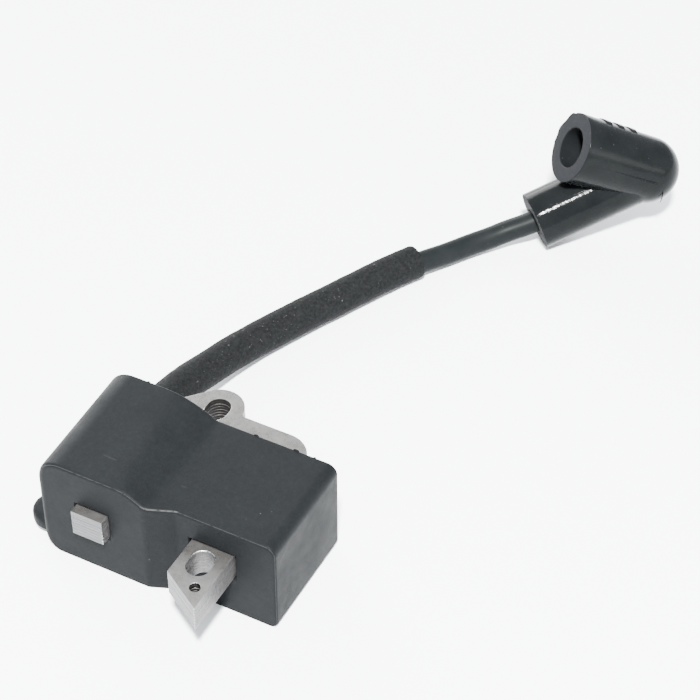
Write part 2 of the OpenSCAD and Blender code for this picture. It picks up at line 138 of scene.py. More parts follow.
# drawn 0.1 wider than in the part, so that the rubber clears the lead as it turns
BOOT_BORE_R = 2.65
LEAD_IN_BOOT = 16
# drawn: how far the rubber swells past its nominal size at its mouths
SWELL = 0.25
PLUG_SWELL = 0.38

# the part's origin, from the CAD solids: box of the module, on the floor
HOUSING_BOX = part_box("housing")
CORE_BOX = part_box("core_laminations")
ORIGIN = Vector((
    BOX_RIGHT - HOUSING_BOX[1].x / MM,
    TAB_C[1] + TAB_R - CORE_BOX[1].y / MM,
    0,
))
TO_FRAME = Matrix.Scale(MM, 4) @ Matrix.Translation(-ORIGIN)

# the cord's route, the points of the CAD part's lead
ROUTE_MM = [
    (LEAD_X, 18.9, LEAD_Z),
    (LEAD_X, 22.2, LEAD_Z),
    (LEAD_X, 25.5, LEAD_Z),
    (-7.5, 30, 8.9),
    (-7.3, 36, 8.3),
    (-6.7, 43, 6.8),
    (-5.7, 50, 5.2),
    (-4, 57.9, 4.1),
    (-1.4, 65.9, 3.4),
    (2.9, 75.9, 3.2),
    (7.6, 85.9, 3.2),
    (12.4, 95.9, 3.2),
    (16, 102.4, 3.1),
    (20, 108.8, 2.7),
    (23.4, 114, 2.8),
    (26.5, 117.9, 3.2),
    (29.4, 121, 4.1),
]
# the sleeve lies loosely on the lead
SLEEVE_MM = [
    (LEAD_X, 25.5, LEAD_Z),
    (-7.5, 30, 9),
    (-7.3, 36, 8.6),
    (-6.8, 43, 7.3),
    (-5.9, 50, 5.8),
    (-4.2, 58, 4.7),
    (-1.6, 66, 4),
    (2.7, 76, 3.8),
    (7.4, 86, 3.8),
    (12.2, 96, 3.8),
    (15.8, 102.5, 3.8),
]

# ---------- camera ----------


def add_camera():
    """Camera at the viewing angle of the original."""
    azimuth, elevation = math.radians(27.845), math.radians(42.9)
    target = Vector((4.06, 62.46, 0)) * MM
    back = Vector((
        math.sin(azimuth) * math.cos(elevation),
        -math.cos(azimuth) * math.cos(elevation),
        math.sin(elevation),
    ))
    data = bpy.data.cameras.new("camera")
    data.sensor_width = 36
    data.lens = 117.13
    data.clip_start, data.clip_end = 0.01, 10
    cam = bpy.data.objects.new("camera", data)
    cam.location = target + back * 0.4843
    cam.rotation_mode = "QUATERNION"
    cam.rotation_quaternion = (-back).to_track_quat("-Z", "Y")
    SCENE.collection.objects.link(cam)
    SCENE.camera = cam


# ---------- shader helpers ----------


class Shader:
    """A material with one principled shader, and short calls for its nodes."""

    def __init__(self, name, **values):
        self.material = bpy.data.materials.new(name)
        self.material.use_nodes = True
        self.tree = self.material.node_tree
        self.main = self.tree.nodes["Principled BSDF"]
        for socket, value in values.items():
            self.main.inputs[socket.replace("_", " ")].default_value = value
        self.place = self.node("ShaderNodeTexCoord").outputs["Object"]

    def node(self, kind, **properties):
        made = self.tree.nodes.new(kind)
        for key, value in properties.items():
            setattr(made, key, value)
        return made

    def join(self, value, socket):
        """Links a socket, or sets a plain value."""
        if isinstance(value, bpy.types.NodeSocket):
            self.tree.links.new(value, socket)
        else:
            socket.default_value = value

    def stretched(self, x=1, y=1, z=1, place=None):
        """The position scaled along each axis, for streaks."""
        made = self.node("ShaderNodeVectorMath", operation="MULTIPLY")
        self.join(place or self.place, made.inputs[0])
        made.inputs[1].default_value = (x, y, z)
        return made.outputs[0]

    def noise(self, scale, detail=3, roughness=0.55, place=None, distortion=0):
        made = self.node("ShaderNodeTexNoise")
        self.join(place or self.place, made.inputs["Vector"])
        for key, value in (("Scale", scale), ("Detail", detail), ("Roughness", roughness),
                           ("Distortion", distortion)):
            made.inputs[key].default_value = value
        return made.outputs["Fac"]

    def cells(self, scale, place=None, feature="F1"):
        made = self.node("ShaderNodeTexVoronoi", feature=feature)
        self.join(place or self.place, made.inputs["Vector"])
        made.inputs["Scale"].default_value = scale
        return made.outputs["Distance"]

    def waves(self, scale, axis="Z", place=None, distortion=0):
        made = self.node("ShaderNodeTexWave", bands_direction=axis)
        self.join(place or self.place, made.inputs["Vector"])
        made.inputs["Scale"].default_value = scale
        made.inputs["Distortion"].default_value = distortion
        return made.outputs["Fac"]

    def math(self, operation, a, b=0.0):
        made = self.node("ShaderNodeMath", operation=operation, use_clamp=True)
        self.join(a, made.inputs[0])
        self.join(b, made.inputs[1])
        return made.outputs[0]

    def difference(self, a, b):
        """a minus b, not clamped."""
        made = self.node("ShaderNodeMath", operation="SUBTRACT")
        self.join(a, made.inputs[0])
        self.join(b, made.inputs[1])
        return made.outputs[0]

    def spread(self, value, low, high, to_low=0.0, to_high=1.0):
        """Maps low..high to to_low..to_high, clamped."""
        made = self.node("ShaderNodeMapRange")
        self.join(value, made.inputs["Value"])
        for key, number in (("From Min", low), ("From Max", high), ("To Min", to_low),
                            ("To Max", to_high)):
            made.inputs[key].default_value = number
        return made.outputs["Result"]

    def soft(self, value, to_low=0.0, to_high=1.0):
        """Spreads the middle of a noise, 0.3 to 0.7."""
        return self.spread(value, 0.3, 0.7, to_low, to_high)

    def mix(self, factor, a, b):
        made = self.node("ShaderNodeMix", data_type="RGBA")
        self.join(factor, made.inputs["Factor"])
        for value, socket in ((a, made.inputs[6]), (b, made.inputs[7])):
            self.join(value if isinstance(value, bpy.types.NodeSocket) else (*value, 1), socket)
        return made.outputs[2]

    def painted(self, name):
        """A value stored on the mesh's points."""
        return self.node("ShaderNodeAttribute", attribute_name=name).outputs["Fac"]

    def facing(self, axis="Z"):
        """How far the surface faces along an axis, from -1 to 1."""
        parts = self.node("ShaderNodeSeparateXYZ")
        self.join(self.node("ShaderNodeNewGeometry").outputs["Normal"], parts.inputs[0])
        return parts.outputs[axis]

    def bump(self, height, depth_mm, under=None):
        made = self.node("ShaderNodeBump")
        made.inputs["Distance"].default_value = depth_mm * MM
        self.join(height, made.inputs["Height"])
        if under is not None:
            self.join(under, made.inputs["Normal"])
        return made.outputs["Normal"]

    def finish(self, colour=None, roughness=None, normal=None):
        for value, key in ((colour, "Base Color"), (roughness, "Roughness"), (normal, "Normal")):
            if value is not None:
                self.join(value, self.main.inputs[key])
        return self.material


# ---------- materials ----------


def moulded_plastic():
    """Dark grey moulding: spark-eroded grain, dust, scuffs, worn edges, a painted highlight."""
    s = Shader("moulded_plastic", Metallic=0.0, IOR=1.47, Specular_IOR_Level=0.038)
    patches = s.noise(160, 4, 0.6)
    grain = s.noise(4200, 3, 0.7)
    base = s.mix(s.spread(patches, 0.35, 0.7), (0.0040, 0.0046, 0.0050), (0.0052, 0.0059, 0.0064))
    base = s.mix(s.spread(grain, 0.45, 0.75, 0, 0.6), base, (0.0085, 0.0092, 0.0098))
    base = s.mix(s.soft(s.noise(1000, 3, 0.6), 0, 0.4), base, (0.0030, 0.0034, 0.0038))
    dust = s.spread(s.noise(1300, 1, 0.3), 0.83, 0.85)
    base = s.mix(dust, base, (0.035, 0.035, 0.034))
    scratch = s.noise(260, 2, 0.4, place=s.stretched(0.35, 3.2, 1), distortion=0.6)
    scuffed = s.math("MULTIPLY", s.spread(scratch, 0.735, 0.76), s.spread(patches, 0.5, 0.6))
    base = s.mix(scuffed, base, (0.0105, 0.011, 0.011))
    # pale edges: wear, and on the slant's top edge a painted highlight of the lamp
    pale_edge = s.math("MULTIPLY", s.painted("wear_and_highlight"), s.spread(s.noise(1500, 3), 0.3, 0.5))
    base = s.mix(pale_edge, base, (0.042, 0.042, 0.041))
    rough = s.spread(patches, 0.3, 0.75, 0.48, 0.62)
    normal = s.bump(grain, 0.03)
    normal = s.bump(s.noise(420, 3), 0.05, normal)
    return s.finish(base, rough, normal)


def cast_resin():
    """Glossy black epoxy with pinholes and slow ripples."""
    s = Shader("cast_resin", IOR=1.52, Specular_IOR_Level=0.07)
    ripple = s.noise(90, 2, 0.4)
    base = s.mix(s.soft(ripple), (0.0045, 0.0042, 0.0042), (0.0085, 0.0079, 0.0076))
    pits = s.spread(s.cells(330), 0.05, 0.12)
    rough = s.soft(s.noise(600, 3), 0.16, 0.34)
    normal = s.bump(pits, 0.12, s.bump(ripple, 0.5))
    return s.finish(base, rough, normal)


def core_steel():
    """Stamped electrical steel: mottled faces, sheared edges, ground pole faces."""
    s = Shader("core_steel")
    flat = s.spread(s.math("ABSOLUTE", s.facing("Z")), 0.6, 0.95)
    mottle = s.noise(420, 5, 0.65)
    fine = s.noise(5200, 2, 0.6)
    face = s.mix(s.spread(mottle, 0.3, 0.72), (0.170, 0.162, 0.154), (0.235, 0.226, 0.216))
    face = s.mix(s.spread(fine, 0.4, 0.75, 0, 0.5), face, (0.148, 0.141, 0.134))
    shear = s.noise(2600, 3, 0.6, place=s.stretched(1, 1, 0.16))
    edge = s.mix(s.soft(shear), (0.052, 0.050, 0.050), (0.090, 0.088, 0.089))
    ground = s.noise(4200, 3, 0.7, place=s.stretched(0.05, 1, 1))
    pole = s.mix(s.soft(ground), (0.050, 0.050, 0.051), (0.088, 0.088, 0.090))
    ahead = s.spread(s.facing("Y"), -0.97, -0.99)
    edge = s.mix(ahead, edge, pole)
    base = s.mix(flat, edge, face)
    oxide = s.spread(s.noise(900, 4, 0.7), 0.66, 0.74, 0, 0.5)
    base = s.mix(oxide, base, (0.055, 0.044, 0.036))
    # painted shade: the walls of the tooling hole and the rear slot darkened
    base = s.mix(s.painted("hole_shade"), base, (0.006, 0.0045, 0.0040))
    s.join(s.spread(flat, 0, 1, 0.6, 0.9), s.main.inputs["Metallic"])
    rough = s.soft(mottle, 0.24, 0.33)
    rough = s.math("ADD", rough, s.spread(flat, 0, 1, 0.14, 0))
    normal = s.bump(fine, 0.006)
    normal = s.bump(shear, 0.006, normal)
    return s.finish(base, rough, normal)


def bright_burr():
    """Bright broken edge left by the punch."""
    s = Shader("bright_burr", Metallic=1.0)
    flaky = s.noise(5000, 3, 0.7)
    base = s.mix(s.soft(flaky), (0.30, 0.30, 0.29), (0.60, 0.60, 0.59))
    return s.finish(base, s.soft(flaky, 0.18, 0.4), s.bump(flaky, 0.03))


def cable_rubber():
    """Satin black insulation with faint drawing lines along the lead."""
    s = Shader("cable_rubber", IOR=1.5, Specular_IOR_Level=0.032)
    cloudy = s.noise(300, 3, 0.6)
    base = s.mix(s.soft(cloudy), (0.0046, 0.0056, 0.0057), (0.0062, 0.0072, 0.0073))
    dust = s.spread(s.noise(2100, 1, 0.3), 0.81, 0.83)
    base = s.mix(dust, base, (0.05, 0.05, 0.048))
    fine = s.noise(3000, 2)
    return s.finish(base, s.soft(cloudy, 0.36, 0.46), s.bump(fine, 0.012))


def sleeve_rubber():
    """Matte black abrasion sleeve with a coarse, gritty skin and pale specks."""
    s = Shader("sleeve_rubber", IOR=1.45, Specular_IOR_Level=0.05)
    coarse = s.noise(1500, 3, 0.65)
    grit = s.noise(3800, 2, 0.6)
    base = s.mix(s.spread(coarse, 0.35, 0.65), (0.0026, 0.0029, 0.0030), (0.0062, 0.0067, 0.0069))
    brown = s.spread(s.noise(1900, 2, 0.5), 0.62, 0.7, 0, 0.4)
    base = s.mix(brown, base, (0.0095, 0.0085, 0.0078))
    where = s.spread(s.noise(120, 2), 0.42, 0.6)
    specks = s.math("MULTIPLY", s.spread(s.noise(2500, 1, 0.3), 0.735, 0.77), where)
    base = s.mix(specks, base, (0.050, 0.052, 0.052))
    normal = s.bump(grit, 0.05, s.bump(coarse, 0.09))
    return s.finish(base, s.soft(grit, 0.62, 0.85), normal)


def boot_rubber():
    """Semi-gloss black rubber, lightly handled, with specks of dust."""
    s = Shader("boot_rubber", IOR=1.5, Specular_IOR_Level=0.036)
    cloudy = s.noise(190, 4, 0.6)
    base = s.mix(s.soft(cloudy), (0.0030, 0.0035, 0.0037), (0.0046, 0.0052, 0.0054))
    # paler colour of the sawn ring; in the plug's bore a quarter of it, a painted reflection
    sawn_and_bore_reflection = s.mix(s.spread(s.noise(1300, 3, 0.7), 0.5, 0.7), (0.0092, 0.0096, 0.0106),
                 (0.0115, 0.0120, 0.0130))
    base = s.mix(s.painted("cut_face_and_bore_reflection"), base, sawn_and_bore_reflection)
    chalky = s.spread(s.noise(1100, 3, 0.7), 0.46, 0.62)
    base = s.mix(s.painted("worn_mouth"), base, s.mix(chalky, (0.012, 0.012, 0.013),
                                                      (0.030, 0.030, 0.032)))
    dust = s.spread(s.noise(1700, 1, 0.3), 0.81, 0.83)
    base = s.mix(dust, base, (0.03, 0.03, 0.029))
    rough = s.soft(cloudy, 0.16, 0.22)
    rough = s.math("SUBTRACT", rough, s.math("MULTIPLY", s.painted("glossy"), 0.115))
    rubbed = s.spread(s.noise(900, 4, 0.6), 0.58, 0.7, 0, 0.2)
    rough = s.math("ADD", rough, rubbed)
    matte = s.node("ShaderNodeMix", data_type="FLOAT")
    s.join(s.math("ADD", s.painted("cut_face_and_bore_reflection"), s.painted("worn_mouth")), matte.inputs[0])
    s.join(rough, matte.inputs[2])
    matte.inputs[3].default_value = 0.75
    fine = s.noise(2600, 2)
    normal = s.bump(fine, 0.012, s.bump(s.noise(350, 3), 0.05))
    return s.finish(base, matte.outputs[0], normal)


def metal(name, low, high, rough, bump_mm=0.01, scale=2500, stretch=(1, 1, 1)):
    """Plain metal with fine streaks or grain."""
    s = Shader(name, Metallic=1.0)
    fine = s.noise(scale, 3, 0.6, place=s.stretched(*stretch))
    stain = s.noise(350, 3, 0.6)
    base = s.mix(s.soft(fine), low, high)
    base = s.mix(s.spread(stain, 0.6, 0.8, 0, 0.4), base, [c * 0.6 for c in low])
    return s.finish(base, s.soft(stain, rough[0], rough[1]), s.bump(fine, bump_mm))


def wound_wire(name, low, high, pitch_mm):
    """Enamelled wire laid side by side along the coil's axis."""
    s = Shader(name, Metallic=0.9)
    turns = s.waves(1 / (pitch_mm * MM) / 20 * math.pi, "Y", distortion=0.3)
    shade = s.noise(800, 3)
    base = s.mix(s.spread(turns, 0.1, 0.6), [c * 0.35 for c in low], s.mix(shade, low, high))
    return s.finish(base, s.soft(shade, 0.2, 0.35), s.bump(turns, pitch_mm * 0.35))


def moulded_nylon():
    """Natural nylon of the coil formers."""
    s = Shader("moulded_nylon", Subsurface_Weight=0.15, IOR=1.53)
    s.main.inputs["Subsurface Radius"].default_value = (0.002, 0.0016, 0.001)
    cloud = s.noise(260, 4)
    base = s.mix(s.soft(cloud), (0.70, 0.66, 0.55), (0.80, 0.77, 0.68))
    return s.finish(base, s.soft(cloud, 0.38, 0.5), s.bump(s.noise(3000, 2), 0.01))


def circuit_green():
    """Green solder mask over copper tracks."""
    s = Shader("circuit_green", Coat_Weight=0.4, Coat_Roughness=0.15)
    tracks = s.spread(s.math("SINE", s.math("MULTIPLY", s.cells(260), 9)), 0.45, 0.55)
    base = s.mix(tracks, (0.012, 0.10, 0.04), (0.03, 0.19, 0.07))
    return s.finish(base, s.soft(s.noise(900), 0.3, 0.42), s.bump(tracks, 0.03))


def dipped_case(name, low, high, rough, grain_mm=0.02):
    """Lacquered or moulded body of a small component."""
    s = Shader(name, IOR=1.5)
    cloud = s.noise(500, 4, 0.6)
    base = s.mix(s.soft(cloud), low, high)
    return s.finish(base, s.soft(cloud, *rough), s.bump(s.noise(2400, 3), grain_mm))


def banded_resistor(pitch_mm):
    """Tan lacquer with coloured value bands across the length."""
    s = Shader("banded_resistor", IOR=1.5)
    parts = s.node("ShaderNodeSeparateXYZ")
    s.join(s.place, parts.inputs[0])
    along = s.node("ShaderNodeMath", operation="PINGPONG")
    s.join(parts.outputs["Y"], along.inputs[0])
    along.inputs[1].default_value = pitch_mm * MM / 2
    base = s.mix(s.noise(700, 3), (0.55, 0.43, 0.26), (0.66, 0.54, 0.35))
    for at, colour in ((0.5, (0.35, 0.05, 0.02)), (1.3, (0.02, 0.02, 0.02)), (2.1, (0.5, 0.3, 0.04))):
        away = s.math("ABSOLUTE", s.difference(along.outputs[0], at * MM))
        base = s.mix(s.spread(away, 0.16 * MM, 0.2 * MM, 1, 0), base, colour)
    return s.finish(base, s.soft(s.noise(600), 0.3, 0.4), s.bump(s.noise(2000), 0.02))


# ---------- mesh helpers: shapes are drawn in the part's millimetres ----------


def mesh_from(name, points, faces):
    mesh = bpy.data.meshes.new(name)
    mesh.from_pydata([tuple(p) for p in points], [], faces)
    mesh.validate()
    obj = bpy.data.objects.new(name, mesh)
    SCENE.collection.objects.link(obj)
    return obj


def evaluated_mesh(obj):
    graph = bpy.context.evaluated_depsgraph_get()
    graph.update()
    return bpy.data.meshes.new_from_object(obj.evaluated_get(graph), depsgraph=graph)


def remove(obj):
    bpy.data.objects.remove(obj, do_unlink=True)


def cut(obj, tool, operation="DIFFERENCE"):
    """Boolean of two closed meshes. The tool is used up."""
    change = obj.modifiers.new("cut", "BOOLEAN")
    change.operation = operation
    change.solver = "EXACT"
    change.object = tool
    mesh = evaluated_mesh(obj)
    obj.modifiers.remove(change)
    obj.data = mesh
    remove(tool)
    return obj


def reworked(obj, change):
    """Runs change(bmesh) on an object's mesh."""
    work = bmesh.new()
    work.from_mesh(obj.data)
    change(work)
    work.to_mesh(obj.data)
    work.free()
    return obj


def merge(target, *others):
    """Joins closed meshes that don't cross into one object."""
    def add(work):
        for other in others:
            work.from_mesh(other.data)
            remove(other)

    return reworked(target, add)


def outward(obj):
    return reworked(obj, lambda work: bmesh.ops.recalc_face_normals(work, faces=work.faces))


def ring_quads(count, size, looped=False):
    """Quads between neighbouring rings of size points; looped joins the last to the first."""
    faces = []
    for i in range(count if looped else count - 1):
        near, far = i * size, (i + 1) % count * size
        for k in range(size):
            j = (k + 1) % size
            faces.append((near + k, near + j, far + j, far + k))
    return faces


def ring_mesh(name, rings, looped=False):
    """A closed mesh through rings of points, with a face on each end or joined into a loop."""
    count, size = len(rings), len(rings[0])
    faces = ring_quads(count, size, looped)
    if not looped:
        last = (count - 1) * size
        faces += [tuple(range(size))[::-1], tuple(range(last, last + size))]
    return outward(mesh_from(name, [p for ring in rings for p in ring], faces))


def block(low, high):
    rings = [[(x, low[1], low[2]), (x, high[1], low[2]), (x, high[1], high[2]),
              (x, low[1], high[2])] for x in (low[0], high[0])]
    return ring_mesh("block", rings)


def rounded_block(low, high, radius, segments=3):
    return reworked(block(low, high), lambda work: bmesh.ops.bevel(
        work, geom=work.edges[:], offset=radius, segments=segments, affect="EDGES", profile=0.5))


def lathe(name, profile, turn, sides=64):
    """Turns (radius, height) points about z, then applies a matrix. Ends on the axis close it;
    a profile that starts and ends off the axis is closed as a ring."""
    ring = profile[0][0] > 0
    points, faces, rows = [], [], []
    for radius, height in profile:
        if radius == 0:
            rows.append([len(points)] * sides)
            points.append(turn @ Vector((0, 0, height)))
            continue
        rows.append(range(len(points), len(points) + sides))
        for k in range(sides):
            a = 2 * math.pi * k / sides
            points.append(turn @ Vector((radius * math.cos(a), radius * math.sin(a), height)))
    pairs = list(zip(rows, rows[1:]))
    if ring:
        pairs.append((rows[-1], rows[0]))
    for low, high in pairs:
        for k in range(sides):
            j = (k + 1) % sides
            quad = [low[k], low[j], high[j], high[k]]
            faces.append(list(dict.fromkeys(quad)))
    return outward(mesh_from(name, points, faces))


def corner(centre, radius, start, end, steps=5):
    """Points of a round corner in a lathe's profile, angles in degrees."""
    angles = [math.radians(start + (end - start) * i / steps) for i in range(steps + 1)]
    return [(centre[0] + radius * math.cos(a), centre[1] + radius * math.sin(a)) for a in angles]


def smooth_path(points, steps):
    """A smooth line through the points (Catmull-Rom)."""
    p = [Vector(q) for q in points]
    p = [2 * p[0] - p[1], *p, 2 * p[-1] - p[-2]]
    line = []
    for a, b, c, d in zip(p, p[1:], p[2:], p[3:]):
        for i in range(steps):
            t = i / steps
            line.append(0.5 * (2 * b + (c - a) * t + (2 * a - 5 * b + 4 * c - d) * t * t
                               + (3 * b - a - 3 * c + d) * t ** 3))
    return line + [p[-2]]


def frames_along(line):
    """Each point with two vectors across the line, without twist."""
    side = Vector((0, 0, 1))
    made = []
    for i, point in enumerate(line):
        ahead = line[min(i + 1, len(line) - 1)] - line[max(i - 1, 0)]
        ahead.normalize()
        side = (side - side.dot(ahead) * ahead).normalized()
        made.append((point, side, ahead.cross(side)))
    return made


def swept(name, line, profile, sides=32):
    """Sweeps rings along a line; profile(i, angle) gives the radius."""
    angles = [2 * math.pi * k / sides for k in range(sides)]
    return ring_mesh(name, [[point + profile(i, a) * (math.cos(a) * u + math.sin(a) * v)
                             for a in angles] for i, (point, u, v) in enumerate(frames_along(line))])


def settle(obj, material, body, slot, *nodes, angle=35):
    """Moves a finished mesh into the frame, and gives it its finish and its body."""
    obj.data.transform(TO_FRAME)
    obj.data.materials.clear()
    obj.data.materials.append(material)
    for polygon in obj.data.polygons:
        polygon.use_smooth = True
        polygon.material_index = 0
    obj.data.set_sharp_from_angle(angle=math.radians(angle))
    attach(obj, body)
    if nodes:
        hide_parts(*nodes)
    return obj


def paint(obj, name, value):
    """Stores a number on each point, worked out from its place in millimetres."""
    layer = obj.data.attributes.get(name) or obj.data.attributes.new(name, "FLOAT", "POINT")
    for vertex, item in zip(obj.data.vertices, layer.data):
        item.value = value(vertex.co)
    return obj


# ---------- lead ----------


def boot_matrix():
    """From the boot's own frame to the part's millimetres."""
    return (Matrix.Translation(BOOT_MOUTH) @ Matrix.Rotation(BOOT_PAN, 4, "Z")
            @ Matrix.Rotation(-BOOT_RISE, 4, "Y") @ Matrix.Rotation(-BOOT_ROLL, 4, "X"))


def lead_route():
    ahead = boot_matrix().to_3x3() @ Vector((1, 0, 0))
    return ROUTE_MM + [tuple(Vector(BOOT_MOUTH) + t * ahead) for t in (-1, 6, 11.5, LEAD_IN_BOOT)]


def add_lead():
    line = [TO_FRAME @ p for p in smooth_path(lead_route(), 8)]
    data = bpy.data.curves.new("ignition_lead", "CURVE")
    data.dimensions = "3D"
    data.bevel_depth = LEAD_R * MM
    data.bevel_resolution = 10
    data.use_fill_caps = True
    data.materials.append(cable_rubber())
    spline = data.splines.new("POLY")
    spline.points.add(len(line) - 1)
    spline.use_smooth = True
    for point, place in zip(spline.points, line):
        point.co = (*place, 1)
    lead = bpy.data.objects.new("ignition_lead", data)
    SCENE.collection.objects.link(lead)
    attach(lead, "module")
    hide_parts("lead_jacket")
    return lead


def add_sleeve():
    """Thin loose sleeve, slightly uneven, with a soft lip at each cut end."""
    line = smooth_path(SLEEVE_MM, 16)
    last = len(line) - 1
    lip = 0.15

    def outer(i, a):
        at = line[i]
        lumps = 0.07 * noise.noise(Vector((at.y * 0.25, math.cos(a), math.sin(a))))
        grit = 0.045 * noise.noise(Vector((at.y * 1.6, 4 * math.cos(a), 4 * math.sin(a))))
        from_end = min((line[last] - at).length, (at - line[0]).length)
        rounding = lip - math.sqrt(max(0, lip ** 2 - max(0, lip - from_end) ** 2))
        return SLEEVE_R - 0.05 + lumps + grit - rounding

    tube = swept("lead_sleeve_skin", line, outer, 64)
    start, end = line[0], line[last]
    bore = [2 * start - line[1], *line, 2 * end - line[last - 1]]
    cut(tube, swept("bore", bore, lambda i, a: SLEEVE_BORE_R, 32))
    return settle(tube, sleeve_rubber(), "module", "sleeve_rubber", "lead_sleeve", angle=50)


# ---------- boot ----------


def boot_axes():
    """Matrices that turn a lathe's z to the lead's tube and to the plug's tube."""
    lead_tube = boot_matrix() @ Matrix.Rotation(math.radians(90), 4, "Y")
    plug_tube = (boot_matrix() @ Matrix.Translation((CABLE_TUBE_L, 0, 0))
                 @ Matrix.Rotation(BOOT_FOLD - math.radians(90), 4, "Y"))
    return lead_tube, plug_tube


def mould_line(turn, radius, angle, low, high, rise):
    """A fine ridge along a tube, where two mould halves meet."""
    a = math.radians(angle)
    out = Vector((math.cos(a), math.sin(a), 0))
    across = Vector((-math.sin(a), math.cos(a), 0))
    rings = []
    steps = 48
    for i in range(steps + 1):
        h = low + (high - low) * i / steps
        up = rise * (1 + 0.5 * noise.noise(Vector((h * 1.3, angle, 0)))) * min(1, i, steps - i)
        rings.append([turn @ (out * (radius + height) + across * side + Vector((0, 0, h)))
                      for side, height in ((-0.14, -0.1), (-0.05, up), (0.05, up), (0.14, -0.1))])
    return ring_mesh("mould_line", rings)


def skin_patch(turn, radius, start, end, low, high, rise, steps=24):
    """Rubber raised from a tube's skin between two angles; rise(t) is its height in mm."""
    rings = []
    for i in range(steps + 1):
        t = i / steps
        a = math.radians(start + (end - start) * t)
        rings.append([turn @ Vector(((radius + r) * math.cos(a), (radius + r) * math.sin(a), h))
                      for r, h in ((-0.3, low), (rise(t), low), (rise(t), high), (-0.3, high))])
    return ring_mesh("skin_patch", rings)


def paint_boot(body, lead_tube, plug_tube, tube_r):
    """Marks the cut ring of the plug tube, and the cable tube's worn mouth and rubbed strip."""
    to_plug, to_lead = plug_tube.inverted(), lead_tube.inverted()

    def sawn_and_bore_reflection(co):
        at = to_plug @ co
        ring = at.z > PLUG_TUBE_L - 0.03 and at.xy.length < PLUG_TUBE_R + 1
        bore = at.z > PLUG_TUBE_L - PLUG_BORE_L - 0.1 and at.xy.length < PLUG_BORE_R + 0.01
        # the bore's wall gets a quarter of the cut face's paler colour: a painted reflection
        return 1 if ring and not bore else 0.25 if bore else 0

    def pale_edge(co):
        along = to_lead @ co
        return 1 if along.z < 0.1 - SWELL and along.xy.length > BOOT_BORE_R else 0

    def glossy(co):
        along = to_lead @ co
        if along.xy.length > tube_r + 0.2 or not 0.1 - SWELL < along.z < CABLE_TUBE_L - 4:
            return 0
        around = (math.degrees(math.atan2(along.y, along.x)) - RUBBED_AT) % 360
        return max(0, min(1, 1.8 - min(around, 360 - around) / 22))

    for mark, value in (("cut_face_and_bore_reflection", sawn_and_bore_reflection), ("worn_mouth", pale_edge), ("glossy", glossy)):
        paint(body, mark, value)


